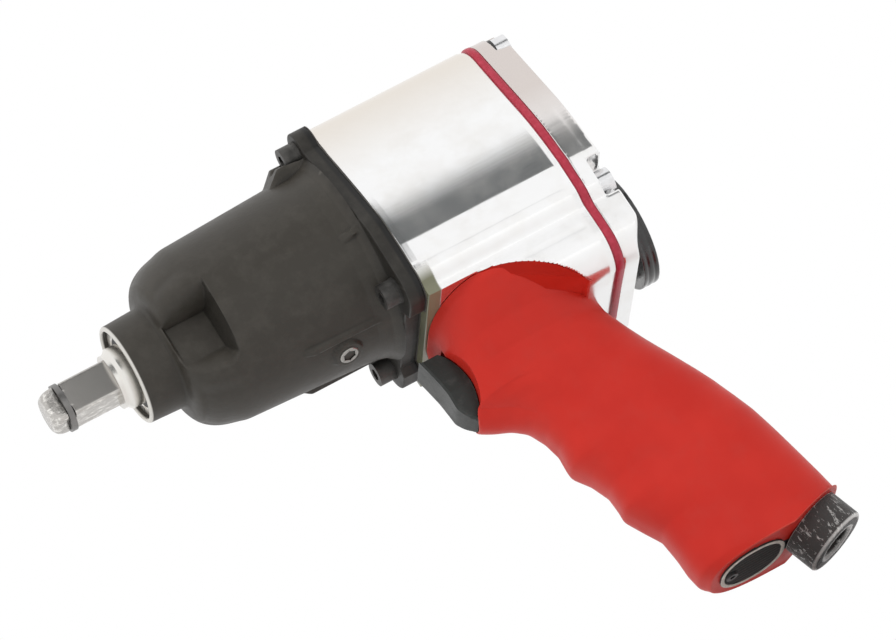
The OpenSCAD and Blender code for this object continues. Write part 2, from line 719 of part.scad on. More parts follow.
// Deep groove races: a ring with a round groove for the balls
module race(x0, r_out, r_in) difference() {
    ring_x(x0, bearing_w, r_out, r_in);
    translate([x0 + bearing_w / 2, 0, 0]) rotate([0, 90, 0]) o_ring(ball_ring_r, ball_r + running);
}

module ball_set(x0) for (i = [0:balls_n - 1]) rotate([360 * i / balls_n, 0, 0])
    translate([x0 + bearing_w / 2, 0, ball_ring_r]) sphere(r = ball_r, $fn = 32);

module ball_cage(x0) difference() {
    ring_x(x0 + 1, bearing_w - 2, ball_ring_r + 0.7, ball_ring_r - 0.7);
    for (i = [0:balls_n - 1]) rotate([360 * i / balls_n, 0, 0])
        translate([x0 + bearing_w / 2, 0, ball_ring_r - 3]) cylinder(h = 6, r = ball_r + 0.05, $fn = 32);
}

module front_bearing_outer_race() color([0.7, 0.7, 0.72])
    race(front_bearing_x, bearing_r, bearing_r - race_t);
module rear_bearing_outer_race() color([0.7, 0.7, 0.72])
    race(rear_bearing_x, bearing_r, bearing_r - race_t);
module front_bearing_inner_race() color([0.7, 0.7, 0.72])
    race(front_bearing_x, shaft_r + race_t, shaft_r);
module rear_bearing_inner_race() color([0.7, 0.7, 0.72])
    race(rear_bearing_x, shaft_r + race_t, shaft_r);
module front_bearing_balls() color([0.8, 0.8, 0.82]) ball_set(front_bearing_x);
module rear_bearing_balls() color([0.8, 0.8, 0.82]) ball_set(rear_bearing_x);
module front_ball_cage() color([0.7, 0.6, 0.3]) ball_cage(front_bearing_x);
module rear_ball_cage() color([0.7, 0.6, 0.3]) ball_cage(rear_bearing_x);

module spline_2d(clear) {
    circle(r = shaft_r - 1 + clear);
    for (i = [0:7]) rotate(45 * i) translate([0, -0.9 - clear])
        square([shaft_r - 0.2 + clear, 1.8 + 2 * clear]);
}

module rotor() color([0.55, 0.56, 0.58]) difference() {
    union() {
        rod_x(rear_plate_x + 0.1, liner_l - 0.2, rotor_r);
        rod_x(rear_bearing_x, housing_x + gap - rear_bearing_x, shaft_r);
        along(housing_x, cage_x + 3.7 - housing_x) spline_2d(0);
    }
    for (i = [0:vanes_n - 1]) rotate([360 * i / vanes_n, 0, 0])
        translate([rear_plate_x - eps, -vane_t / 2 - running, slot_r])
            cube([liner_l + 2 * eps, vane_t + 2 * running, rotor_r]);
}

module rotor_vanes() color([0.35, 0.25, 0.15]) for (i = [0:vanes_n - 1])
    rotate([360 * i / vanes_n, 0, 0]) translate([rear_plate_x + 0.2, -vane_t / 2, slot_r + 0.1])
        cube([liner_l - 0.4, vane_t, rotor_r - slot_r - 0.3]);

module hammer_cage() color([0.4, 0.4, 0.42]) difference() {
    union() {
        rod_x(cage_x, cage_rear_t, cage_r);
        rod_x(cage_front_x, cage_front_t, cage_r);
        intersection() {
            rod_x(cage_x, cage_end_x - cage_x, cage_r);
            for (side = [-1, 1]) translate([cage_x, side * (strut_y + 5) - 5, -20])
                cube([cage_end_x - cage_x, 10, 40]);
        }
    }
    along(cage_x - eps, 4.5 + eps) spline_2d(0.05);
    rod_x(cage_x + 4, cage_rear_t, tail_r + running);
    rod_x(cage_front_x - eps, cage_front_t + 2 * eps, journal_r + running);
    for (side = [-1, 1]) translate([0, 0, side * pin_offset])
        rod_x(cage_x - eps, cage_end_x - cage_x - 1, pin_r);
}

module hammer_pins() color([0.65, 0.65, 0.67]) for (side = [-1, 1])
    translate([0, 0, side * pin_offset]) rod_x(cage_x + 0.5, cage_end_x - cage_x - 2, pin_r);

// A hammer hangs on one pin, and the other pin stops it in an open notch
module hammer(x0, up) difference() {
    intersection() {
        rod_x(x0, hammer_t, hammer_r);
        translate([x0, -hammer_flat, -30]) cube([hammer_t, 2 * hammer_flat, 60]);
    }
    rod_x(x0 - eps, hammer_t + 2 * eps, hammer_bore_r);
    translate([0, 0, up * pin_offset]) rod_x(x0 - eps, hammer_t + 2 * eps, pin_r + running);
    translate([x0 - eps, -pin_r - 3.4, -up * (pin_offset + 6.6) - 10])
        cube([hammer_t + 2 * eps, 2 * pin_r + 6.8, 20]);
}

module front_hammer() color([0.45, 0.45, 0.47]) hammer(front_hammer_x, 1);
module rear_hammer() color([0.45, 0.45, 0.47]) hammer(rear_hammer_x, -1);

module thrust_washer() color([0.75, 0.7, 0.5]) ring_x(room_x - thrust_t, thrust_t, journal_r + 9, journal_r + gap);

module anvil() color([0.72, 0.72, 0.74]) {
    difference() {
        intersection() {
            translate([-1, -drive_w / 2, -drive_w / 2]) cube([drive_l + 1, drive_w, drive_w]);
            turned() polygon([[0, -1], [drive_round_r, -1], [drive_round_r, drive_l - pilot_l],
                [tip_r, drive_l], [0, drive_l]]);
        }
        difference() {
            rod_x(drive_l - ring_back - ring_groove_w / 2, ring_groove_w, drive_round_r + 1);
            rod_x(drive_l - ring_back - ring_groove_w, 2 * ring_groove_w, drive_w / 2 + 0.1);
        }
    }
    turned() polygon([[0, cage_x + 4.3], [tail_r, cage_x + 4.3], [tail_r, rear_hammer_x],
        [journal_r, rear_hammer_x], [journal_r, -collar_l - 1.3], [collar_r, -collar_l], [collar_r, 0],
        [0, 0]]);
    intersection() {
        rod_x(rear_hammer_x, 2 * hammer_t + gap, lug_r);
        translate([rear_hammer_x, -lug_w / 2, -20]) cube([2 * hammer_t + gap, lug_w, 40]);
    }
}

module socket_ring() color([0.6, 0.6, 0.6]) difference() {
    ring_x(drive_l - ring_back - 1, 2, drive_round_r - 0.1, drive_w / 2 + 1);
    translate([drive_l - ring_back - 2, -1, 0]) cube([4, 2, 12]);
}

module socket_o_ring() color([0.08, 0.08, 0.08])
    ring_x(drive_l - ring_back - 0.8, 1.6, drive_w / 2 + 1, drive_w / 2 + 0.1);

module trigger() color([0.12, 0.13, 0.12]) on_handle() difference() {
    across(trigger_w) trigger_side();
    // Shallow grooves down both sides, and the rod's socket
    for (side = [-1, 1]) across_groove(side);
    translate([-101, 0, -rod_z]) rod_x(-4, 7, rod_r);
}

module across_groove(side) translate([-97.2, side * trigger_w / 2, -68]) rotate([0, -8, 0])
    cylinder(h = 18, r = 0.9, $fn = 24);

module throttle_rod() color([0.7, 0.7, 0.7]) on_handle() translate([rod_ball_x, 0, -rod_z]) {
    rod_x(0, -98 - rod_ball_x, rod_r);
    sphere(r = rod_r, $fn = 48);
}

module rod_bushing() color([0.75, 0.62, 0.3]) on_handle() translate([-118, 0, -rod_z])
    ring_x(0, 10, rod_r + 2.4, rod_r + running);

module rod_o_ring() color([0.08, 0.08, 0.08]) on_handle() translate([-119.4, 0, -rod_z])
    ring_x(-1.2, 2.4, rod_r + 0.5, rod_r + running);

module tilt_valve() color([0.75, 0.62, 0.3]) on_handle() leaned(seat_at) {
    cylinder(h = (seat_z - rod_z) / cos(rake) + 2, r = stem_r, $fn = 36);
    translate([0, 0, -2.6]) cylinder(h = 2.5, r = valve_r, $fn = 48);
    translate([0, 0, -2.6]) cylinder(h = 3, r = stem_r, $fn = 36);
}

module valve_seat() color([0.75, 0.62, 0.3]) on_handle() leaned(seat_at) difference() {
    cylinder(h = 4, r = 5.5);
    translate([0, 0, -eps]) cylinder(h = 5, r = 4.2);
}

module valve_seat_o_ring() color([0.08, 0.08, 0.08]) on_handle() leaned(seat_at)
    translate([0, 0, 4]) difference() {
        cylinder(h = 1.4, r = 5.5);
        translate([0, 0, -eps]) cylinder(h = 3, r = 4.2);
    }

// Round wire swept along a coil of n turns
module coil(r, wire, pitch, turns) {
    side_n = 8;
    step_n = 20;
    count = turns * step_n;
    ring_at = function (k) let (a = 360 * k / step_n, z = pitch * k / step_n) [
        for (j = [0:side_n - 1]) let (b = 360 * j / side_n, q = r + wire * cos(b))
            [q * cos(a), q * sin(a), z + wire * sin(b)]
    ];
    polyhedron(
        points = [for (k = [0:count]) each ring_at(k)],
        faces = concat(
            [[for (j = [0:side_n - 1]) j]],
            [[for (j = [side_n - 1:-1:0]) count * side_n + j]],
            [for (k = [0:count - 1], j = [0:side_n - 1]) each [
                [k * side_n + j, (k + 1) * side_n + j, k * side_n + (j + 1) % side_n],
                [k * side_n + (j + 1) % side_n, (k + 1) * side_n + j, (k + 1) * side_n + (j + 1) % side_n]
            ]]
        ),
        convexity = 10
    );
}

module valve_spring() color([0.7, 0.7, 0.7]) on_handle() leaned(seat_at)
    translate([0, 0, -13.2]) coil(5.2, 0.5, 2.4, 4);

module air_inlet() color([0.2, 0.2, 0.2]) on_handle() leaned(inlet_end) difference() {
    union() {
        cylinder(h = inlet_l - 0.1, r = inlet_r);
        cylinder(h = inlet_l + inlet_neck_l, r = inlet_r - 3);
    }
    translate([0, 0, -eps]) cylinder(h = inlet_hole_l + eps, r = inlet_hole_r);
    // Relief behind the thread, the screen's seat and the passage
    translate([0, 0, inlet_hole_l]) cylinder(h = 0.8, r = inlet_hole_r + 0.4);
    translate([0, 0, inlet_hole_l]) cylinder(h = 2, r = inlet_hole_r - 0.6);
    translate([0, 0, inlet_hole_l]) cylinder(h = 40, r = inlet_hole_r - 1.2);
}

module inlet_screen() color([0.7, 0.7, 0.7]) on_handle() leaned(inlet_end)
    translate([0, 0, inlet_hole_l + 0.8]) difference() {
        cylinder(h = 1.2, r = inlet_hole_r - 0.6);
        for (ix = [-2:2], iy = [-2:2]) if (norm([ix, iy]) < 2.5)
            translate([ix * 1.7, iy * 1.7, -eps]) cylinder(h = 3, r = 0.6, $fn = 16);
    }

module inlet_o_ring() color([0.08, 0.08, 0.08]) on_handle() leaned(inlet_end)
    translate([0, 0, inlet_l + inlet_neck_l]) difference() {
        cylinder(h = 0.9, r = inlet_r - 3);
        translate([0, 0, -eps]) cylinder(h = 3, r = passage_r);
    }

module exhaust_plate() color([0.1, 0.1, 0.1]) on_handle() translate([plate_x, 0, -grip_bottom]) difference() {
    union() {
        linear_extrude(plate_t) plate_outline(0);
        translate([0, 0, -rim_h]) linear_extrude(rim_h + eps) difference() {
            plate_outline(0);
            plate_outline(rim_w);
        }
    }
    for (i = [0:louvres_n - 1]) translate([-plate_l / 2 + 3.2 + i * 4.2, -7, -2]) cube([1.8, 14, 8]);
    translate([plate_l / 2 - 4, 0, -2]) cylinder(h = 8, r = 1.6, $fn = 24);
}

module exhaust_plate_screw() color([0.7, 0.7, 0.7])
    on_handle() translate([plate_x + plate_l / 2 - 4, 0, -grip_bottom]) difference() {
        union() {
            translate([0, 0, -1.4]) cylinder(h = 1.4, r = 2.2, $fn = 36);
            cylinder(h = 6.5, r = 1.5, $fn = 24);
        }
        translate([0, 0, -2]) cylinder(h = 1.6, r = 1.1, $fn = 6);
    }

module exhaust_muffler() color([0.5, 0.5, 0.45]) on_handle() leaned([plate_x, 0, -grip_bottom])
    translate([-6.4, 0.1 - channel_w / 2, 9]) cube([channel_l - 0.2, channel_w - 0.2, muffler_h]);

module reverse_dial() color([0.07, 0.07, 0.07]) translate([dial_x, 0, -reverse_z]) difference() {
    rod_x(-dial_t, dial_t, dial_r);
    // Two hollows leave a grip bar between them
    difference() {
        rod_x(-dial_t - eps, dial_hollow + eps, dial_r - dial_rim_w);
        translate([-dial_t, -3.5, -dial_r]) cube([dial_t, 7, 2 * dial_r]);
        rod_x(-dial_t, dial_t, 5.4);
    }
    rod_x(-dial_t - 2, 20, 1.5);
    rod_x(-dial_t - eps, 2 + eps, 3);
    // A groove lets the ball pass between the two detents at its ends
    intersection() {
        ring_x(-1.4, 2, 12 + detent_r + gap, 12 - detent_r - gap);
        translate([-2, -20, -20]) cube([3, 20, 20]);
    }
    for (a = [0, 90]) rotate([-a, 0, 0]) translate([0, 0, -12]) rod_x(-1.7, 2, detent_r + gap);
}

module reverse_dial_screw() color([0.7, 0.7, 0.7])
    translate([dial_x - dial_t + 2, 0, -reverse_z]) difference() {
        union() {
            rod_x(-1.8, 1.8, 2.9);
            rod_x(-0.1, 12, 1.5);
        }
        rod_x(-2, 1.4, 1.4);
    }

module reverse_valve() color([0.75, 0.62, 0.3]) translate([0, 0, -reverse_z]) difference() {
    rod_x(dial_x, gasket_x + 23 - dial_x, reverse_valve_r);
    translate([gasket_x + 6, -10, 0]) cube([13, 20, 3]);
    translate([dial_x - eps, 0, 0]) rod_x(0, 10, 1.5);
    ring_x(cover_x - 4.5, 2, reverse_valve_r + 1, reverse_valve_r - 1);
}

module reverse_valve_o_ring() color([0.08, 0.08, 0.08]) translate([0, 0, -reverse_z])
    ring_x(cover_x - 4.4, 1.8, reverse_valve_r, reverse_valve_r - 1);

module reverse_bushing() color([0.6, 0.6, 0.6]) translate([0, 0, -reverse_z]) difference() {
    ring_x(gasket_x, 25, reverse_bushing_r, reverse_valve_r + running);
    for (side = [-1, 1]) translate([gasket_x + 22, side * 3, 0]) cylinder(h = 10, r = 1.6, $fn = 24);
}

module detent_ball() color([0.8, 0.8, 0.8]) translate([dial_x + 0.6, 0, -reverse_z - 12])
    sphere(r = detent_r - 0.1, $fn = 32);

module detent_spring() color([0.7, 0.7, 0.7]) translate([dial_x + 6, 0, -reverse_z - 12])
    rotate([0, -90, 0]) coil(1.1, 0.25, 0.9, 4);

hammer_case();
nose_bushing();
nose_seal();
front_gasket();
case_screws();
case_screw_washers();
oil_plug();
motor_housing();
grip_sleeve();
rear_gasket();
rear_cover();
rear_cover_screws();
rear_screw_washers();
cylinder_liner();
cylinder_pin();
front_end_plate();
rear_end_plate();
front_bearing_outer_race();
rear_bearing_outer_race();
front_bearing_inner_race();
rear_bearing_inner_race();
front_bearing_balls();
rear_bearing_balls();
front_ball_cage();
rear_ball_cage();
rotor();
rotor_vanes();
hammer_cage();
hammer_pins();
front_hammer();
rear_hammer();
thrust_washer();
anvil();
socket_ring();
socket_o_ring();
trigger();
throttle_rod();
rod_bushing();
rod_o_ring();
tilt_valve();
valve_seat();
valve_seat_o_ring();
valve_spring();
air_inlet();
inlet_screen();
inlet_o_ring();
exhaust_plate();
exhaust_plate_screw();
exhaust_muffler();
reverse_dial();
reverse_dial_screw();
reverse_valve();
reverse_valve_o_ring();
reverse_bushing();
detent_ball();
detent_spring();
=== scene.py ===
"""Studio view of a pneumatic impact wrench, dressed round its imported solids."""
import math

import bpy
import numpy as np
from mathutils import Matrix, Vector


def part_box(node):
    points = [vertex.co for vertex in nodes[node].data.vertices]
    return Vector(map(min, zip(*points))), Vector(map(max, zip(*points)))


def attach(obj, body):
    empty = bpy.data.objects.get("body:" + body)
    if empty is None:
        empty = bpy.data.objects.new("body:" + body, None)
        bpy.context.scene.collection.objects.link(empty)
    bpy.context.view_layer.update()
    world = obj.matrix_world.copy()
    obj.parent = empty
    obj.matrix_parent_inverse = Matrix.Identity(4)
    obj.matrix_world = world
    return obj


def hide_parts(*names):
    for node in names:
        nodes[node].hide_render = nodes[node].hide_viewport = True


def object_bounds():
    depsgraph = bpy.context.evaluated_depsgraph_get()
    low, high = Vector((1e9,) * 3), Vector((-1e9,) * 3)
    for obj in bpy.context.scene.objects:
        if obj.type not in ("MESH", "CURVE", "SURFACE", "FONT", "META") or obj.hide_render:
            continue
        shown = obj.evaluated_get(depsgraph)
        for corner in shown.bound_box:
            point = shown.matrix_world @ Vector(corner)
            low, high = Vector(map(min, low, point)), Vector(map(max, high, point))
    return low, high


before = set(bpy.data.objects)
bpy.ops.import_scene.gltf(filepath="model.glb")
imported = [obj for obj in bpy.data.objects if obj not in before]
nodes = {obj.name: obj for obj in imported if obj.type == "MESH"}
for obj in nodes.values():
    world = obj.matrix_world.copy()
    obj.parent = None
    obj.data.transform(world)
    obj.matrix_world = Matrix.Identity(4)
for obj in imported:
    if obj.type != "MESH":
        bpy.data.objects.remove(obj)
solid_box = [list(corner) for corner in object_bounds()]
mm = 0.001

# ---------------------------------------------------------------- Studio
# A pale floor under the tool, a white surround and large soft lamps. The
# floor is clear from below, so that the tool can be seen from under it. Two
# dark cards show only in the polished metal.


class Wire:
    """A node's socket. Arithmetic on it adds Math nodes to its material."""

    def __init__(self, shade, socket):
        self.shade, self.socket = shade, socket

    def math(self, operation, *values, clamp=False):
        """Adds one Math node that works on these values."""
        settings = {"operation": operation, "use_clamp": clamp}
        return self.shade.node("ShaderNodeMath", settings, dict(enumerate(values)))

    def __add__(self, other):
        return self.math("ADD", self, other)

    def __sub__(self, other):
        return self.math("SUBTRACT", self, other)

    def __rsub__(self, other):
        return self.math("SUBTRACT", other, self)

    def __mul__(self, other):
        return self.math("MULTIPLY", self, other)

    __radd__ = __add__
    __rmul__ = __mul__

    def between(self, low, high):
        """How far the value lies from low to high, kept within 0 and 1."""
        return self.math("DIVIDE", self - low, high - low, clamp=True)


class Shade:
    """A material's node tree, with one method that adds any node."""

    def __init__(self, name, surface=None):
        made = surface or bpy.data.materials.new(name)
        made.use_nodes = True
        self.made, self.tree = made, made.node_tree
        self.tree.nodes.clear()

    def node(self, kind, settings=None, sockets=None, out=0):
        """Adds a node with its settings and inputs, and returns the output called out."""
        made = self.tree.nodes.new(kind)
        for key, value in (settings or {}).items():
            setattr(made, key, value)
        for key, value in (sockets or {}).items():
            if isinstance(value, Wire):
                self.tree.links.new(value.socket, made.inputs[key])
            elif value is not None:
                made.inputs[key].default_value = value
        return Wire(self, made.outputs[out])

    def place(self):
        """The object's own coordinates at each point, in metres."""
        return self.node("ShaderNodeTexCoord", out="Object")

    def axis(self, k):
        """The object's own x, y or z at each point, in metres."""
        return self.node("ShaderNodeSeparateXYZ", None, {0: self.place()}, out=k)

    def facing(self, k):
        """The x, y or z of each face's own normal."""
        return self.node("ShaderNodeSeparateXYZ", None,
                         {0: self.node("ShaderNodeNewGeometry", out="True Normal")}, out=k)

    def along(self, start, way):
        """How far each point lies from start, along the unit vector way."""
        reach = self.node("ShaderNodeVectorMath", {"operation": "DOT_PRODUCT"},
                          {0: self.place(), 1: tuple(way)}, out="Value")
        return reach - float(np.dot(start, way))

    def noise(self, size, detail=4, rough=0.55, stretch=(1, 1, 1)):
        """Noise whose features measure about size metres, stretched along the axes."""
        scaled = self.node("ShaderNodeMapping", None, {
            "Vector": self.place(), "Scale": tuple(1 / (size * s) for s in stretch)})
        return self.node("ShaderNodeTexNoise", None,
                         {"Vector": scaled, "Scale": 1.0, "Detail": detail, "Roughness": rough})

    def wear(self, low, high):
        """1 on an edge that stands out, from the mesh's own curvature."""
        return self.node("ShaderNodeNewGeometry", out="Pointiness").between(low, high)

    def blend(self, amount, first, second):
        """A colour that goes from first to second as amount goes from 0 to 1."""
        full = [(*c, 1) if isinstance(c, tuple) and len(c) == 3 else c for c in (first, second)]
        return self.node("ShaderNodeMix", {"data_type": "RGBA"},
                         {0: amount, 6: full[0], 7: full[1]}, out=2)

    def bump(self, height, depth):
        """Normals that rise by depth metres as height goes from 0 to 1."""
        return self.node("ShaderNodeBump", None,
                         {"Height": height, "Distance": depth, "Strength": 1.0})

    def finish(self, **sockets):
        """Ends the tree in a Principled shader with these sockets."""
        named = {key.replace("_", " "): (*v, 1) if isinstance(v, tuple) and len(v) == 3 else v
                 for key, v in sockets.items()}
        self.surface(self.node("ShaderNodeBsdfPrincipled", None, named))
        return self.made

    def surface(self, shader, kind="ShaderNodeOutputMaterial"):
        """Links a shader to a new output node."""
        self.tree.links.new(shader.socket, self.tree.nodes.new(kind).inputs["Surface"])


bpy.context.scene.view_settings.view_transform = "Standard"
camera = bpy.data.objects.new("camera", bpy.data.cameras.new("camera"))
bpy.context.scene.collection.objects.link(camera)
bpy.context.scene.camera = camera
aim = Vector((-108.6, 0, -35.7)) * mm
right = Vector((-0.8570, 0.0433, -0.5133)).normalized()
back = Vector((0.2501, 0.9063, -0.3412)).normalized()
above = back.cross(right).normalized()
right = above.cross(back)
camera.matrix_world = Matrix.Translation(aim + back * 2.0) @ Matrix(
    (right, above, back)).transposed().to_4x4()
camera.data.lens = 241
camera.data.clip_start, camera.data.clip_end = 0.1, 20

world = bpy.data.worlds.new("surround")
bpy.context.scene.world = world
sky = Shade("surround", world)
seen = sum(sky.node("ShaderNodeLightPath", out=ray)
           for ray in ("Is Camera Ray", "Is Glossy Ray", "Is Transmission Ray"))
sky.surface(sky.node("ShaderNodeBackground", None, {
    "Color": sky.blend(seen, (0.62, 0.62, 0.63), (1, 1, 1)), "Strength": 1.0}),
    "ShaderNodeOutputWorld")


def make_piece(name, points, faces, material, body=None, smooth=50):
    """A mesh piece from its points in metres. Its faces are turned outwards by the
    sign of the enclosed volume, and edges sharper than smooth degrees stay sharp."""
    points = np.asarray(points, float)
    corners = [np.asarray(f) for f in faces]
    volume = 0.0
    for count in sorted({len(f) for f in corners}):
        part = np.array([f for f in corners if len(f) == count])
        for k in range(1, count - 1):
            a, b, c = points[part[:, 0]], points[part[:, k]], points[part[:, k + 1]]
            volume += np.einsum("ij,ij->i", a, np.cross(b, c)).sum()
    if volume < 0:
        corners = [f[::-1] for f in corners]
    mesh = bpy.data.meshes.new(name)
    mesh.from_pydata(points.tolist(), [], [f.tolist() for f in corners])
    mesh.materials.append(material)
    mesh.shade_smooth()
    mesh.set_sharp_from_angle(angle=math.radians(smooth))
    piece = bpy.data.objects.new(name, mesh)
    bpy.context.scene.collection.objects.link(piece)
    if body:
        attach(piece, body)
    return piece


floor_look = Shade("pale_floor")
grain = floor_look.noise(0.004, detail=3)
front = floor_look.node("ShaderNodeBsdfDiffuse", None, {
    "Color": floor_look.blend(grain, (0.86, 0.86, 0.85), (0.9, 0.9, 0.89))})
clear = floor_look.node("ShaderNodeBsdfTransparent")
behind = floor_look.node("ShaderNodeNewGeometry", out="Backfacing")
floor_look.surface(floor_look.node("ShaderNodeMixShader", None, {0: behind, 1: front, 2: clear}))
lowest = solid_box[0][2]
around = np.linspace(0, 2 * np.pi, 97)[:-1]
floor = make_piece("floor", np.c_[1.6 * np.cos(around) - 0.08, 1.6 * np.sin(around),
                                  np.full(96, lowest - 0.0004)],
                   [list(range(96))], floor_look.made)
if floor.data.polygons[0].normal.z < 0:
    floor.data.flip_normals()


def lamp(name, place, size, power):
    """A soft square lamp that faces the tool."""
    data = bpy.data.lights.new(name, "AREA")
    data.shape, data.size, data.energy = "SQUARE", size, power
    made = bpy.data.objects.new(name, data)
    bpy.context.scene.collection.objects.link(made)
    made.location = aim + Vector(place)
    made.rotation_mode = "QUATERNION"
    made.rotation_quaternion = Vector(place).to_track_quat("Z", "Y")
    made.visible_glossy = False


lamp("key_lamp", (0.5, 0.8, 1.0), 1.6, 9)
lamp("side_lamp", (-0.3, 1.4, 0.5), 1.2, 5)
lamp("far_lamp", (-0.4, -1.1, 0.9), 1.4, 6)
lamp("front_lamp", (1.2, 0.2, 0.4), 1.0, 2)


def card(name, reach, low, high, start, end, fade):
    """A card beside the tool, reach metres from the spindle's line and between two
    angles above the level, that only reflections show. It is dark below and fades to
    white between two heights."""
    look = Shade(name)
    pale = look.axis(2).between(*fade)
    look.surface(look.node("ShaderNodeEmission", None, {
        "Color": look.blend(pale, (0.11, 0.115, 0.115), (1, 1, 1))}))
    ends = [(reach * math.cos(math.radians(t)), reach * math.sin(math.radians(t)))
            for t in (low, high)]
    made = make_piece(name, [(x, y, z) for x, (y, z) in (
        (start, ends[0]), (end, ends[0]), (end, ends[1]), (start, ends[1]))],
        [[0, 1, 2, 3]], look.made)
    made.visible_camera = made.visible_diffuse = made.visible_shadow = False


card("barrel_card", 1.0, 24, 52, -0.85, 0.02, (0.525, 0.73))
card("drive_card", 0.3, 6, 46, -0.115, -0.03, (0.3, 0.4))

# ---------------------------------------------------------------- Square drive
# The anvil is one forging of alloy steel: a ground square with turned corners,
# a collar, a journal, and two lugs that the hammers strike.

drive_w, corner_r, collar_r, journal_r = 12.7, 8.6, 9.7, 11.0
tip_r, groove_r, lug_r, tail_r = 3.2, 6.9, 14.4, 6.5
groove_rear, pilot_x, pilot_l = 16.85, 19.4, 5.9
collar_rear, lug_front, lug_rear = -1.5, -39.25, -74.45
turn = np.linspace(0, 2 * np.pi, 241)[:-1]


def soft_min(a, b, reach):
    """The smaller of two values, with the corner between them rounded over reach."""
    h = np.clip(0.5 + 0.5 * (b - a) / reach, 0, 1)
    return b * (1 - h) + a * h - reach * h * (1 - h)


def weave(rows, wrap_rows=False):
    """Faces of a grid whose columns close round. Rows may close too, or end in caps."""
    n, m = rows
    i, j = np.meshgrid(np.arange(n if wrap_rows else n - 1), np.arange(m), indexing="ij")
    a, b = i * m + j, i * m + (j + 1) % m
    c, d = (i + 1) % n * m + (j + 1) % m, (i + 1) % n * m + j
    faces = list(np.stack([a, b, c, d], -1).reshape(-1, 4))
    if not wrap_rows:
        faces += [np.arange(m)[::-1], (n - 1) * m + np.arange(m)]
    return faces


def woven(name, grid, look, body, smooth, ring=False):
    """A piece whose faces join a grid of points in millimetres. With ring, the last
    row joins the first."""
    return make_piece(name, grid.reshape(-1, 3) * mm, weave(grid.shape[:2], ring), look,
                      body, smooth)


def round_spindle(x, r, angles):
    """Points at station x and radius r for every angle about the spindle."""
    r = np.broadcast_to(r, (len(x), len(angles)))
    return np.stack([np.broadcast_to(np.asarray(x)[:, None], r.shape),
                     r * np.cos(angles), r * np.sin(angles)], -1)


def steps(*stops):
    """Stations through the stops, each given as (end, spacing) after the first number."""
    out = [np.array([stops[0]])]
    for end, gap in stops[1:]:
        last = out[-1][-1]
        out.append(np.linspace(last, end, max(2, int(abs(end - last) / gap) + 1))[1:])
    return np.concatenate(out)


# Radius at each station: the square's side divided by the larger of the angle's
# cosine and sine, limited by the turned corners and by the rounded pilot.
anvil_x = steps(24.6, (24.3, 0.1), (19.6, 0.35), (19.4, 0.1), (16.9, 0.3), (16.7, 0.1), (0.4, 0.8),
                (0, 0.1), (-0.01, 0.01), (-1.5, 0.4), (-2.8, 0.4), (-39.2, 3), (-39.3, 0.1),
                (-74.4, 4), (-74.5, 0.1), (-84.9, 3), (-85, 0.1))
x = anvil_x[:, None]
square = drive_w / 2 / np.maximum(abs(np.cos(turn)), abs(np.sin(turn)))
pilot = np.clip(1 - (np.clip(x - pilot_x, 0, None) / pilot_l) ** 2, 0, 1)
pilot = np.sqrt(pilot) * (corner_r - tip_r) + tip_r
drive = soft_min(square + 0 * x, corner_r + 0 * turn + 0 * x, 0.4)
drive = np.where(x > pilot_x, soft_min(drive, pilot, 1.0), drive)
drive = np.where((x > groove_rear) & (x < pilot_x + 0.05), np.minimum(drive, groove_r), drive)
rear = np.where(x > collar_rear, collar_r, np.minimum(journal_r, collar_r + (collar_rear - x)))
rear = rear - 0.5 * (x > -0.005)
lugs = np.where(abs(lug_r * np.cos(turn)) < 4, lug_r, journal_r)
rear = np.where((x < lug_front) & (x > lug_rear), lugs, rear)
rear = np.where(x < lug_rear, tail_r, rear)
anvil_r = np.where(x >= 0, drive, rear)

forged = Shade("ground_drive_steel")
scuffs = forged.noise(0.0011, detail=6, rough=0.7, stretch=(3, 1, 1))
dents = forged.noise(0.0028, detail=5, rough=0.62)
level = forged.facing(2)
square_only = forged.axis(0).between(-0.0002, 0.0002)
tip = forged.axis(0).between(0.0185, 0.0205)
# The sides that face down are struck and scuffed, and so is the tip
struck = (1 - level.between(-0.6, -0.3)) * square_only + tip
worn = (scuffs.between(0.5, 0.64) * struck + forged.wear(0.53, 0.6) * 0.8).between(0, 1)
# The square's steel is painted darker than the rest, a painted dark reflection
drive_look = forged.finish(
    Base_Color=forged.blend(worn, forged.blend(square_only, (0.82, 0.8, 0.76), (0.52, 0.5, 0.475)),
                            (0.9, 0.88, 0.84)),
    Metallic=1.0, Roughness=0.27 - worn * 0.1,
    Normal=forged.bump(scuffs * (struck * 0.5 + 0.03) + dents * (tip * 2.2 + 0.05), 0.0002))
anvil = woven("anvil_forging", round_spindle(anvil_x, anvil_r, turn), drive_look, "anvil", 38)
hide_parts("anvil")

# ---------------------------------------------------------------- Nose bushing
# A turned bronze bushing pressed into the nose, bright with patches of tarnish,
# with a rubber seal in its front counterbore.

bushing_front, room_x = -7.2, -40.6


def turned(name, profile, material, body, smooth=35, sides=144):
    """A closed profile of (radius, station) in millimetres, turned round the spindle."""
    angles = np.linspace(0, 2 * np.pi, sides + 1)[:-1]
    r, s = np.array(profile, float).T
    return woven(name, round_spindle(s, r[:, None], angles), material, body, smooth, True)


bronze = Shade("turned_bushing")
rings = bronze.noise(0.0006, detail=3, stretch=(0.2, 9, 9))
tarnish = bronze.noise(0.004, detail=5).between(0.42, 0.62)
bushing_look = bronze.finish(
    Base_Color=bronze.blend(tarnish, (0.9, 0.88, 0.84), (0.62, 0.58, 0.52)), Metallic=1.0,
    Roughness=0.24 + tarnish * 0.2, Normal=bronze.bump(rings, 0.00006))
bushing = turned("bushing_ring", [
    (11.06, room_x), (13.98, room_x), (13.98, bushing_front - 1.5), (16.18, bushing_front - 1.5),
    (16.18, bushing_front - 0.3), (15.9, bushing_front - 0.02), (13.3, bushing_front),
    (13.0, bushing_front - 0.25), (13.0, bushing_front - 1.4), (11.06, bushing_front - 1.4)],
    bushing_look, "tool")
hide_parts("nose_bushing")

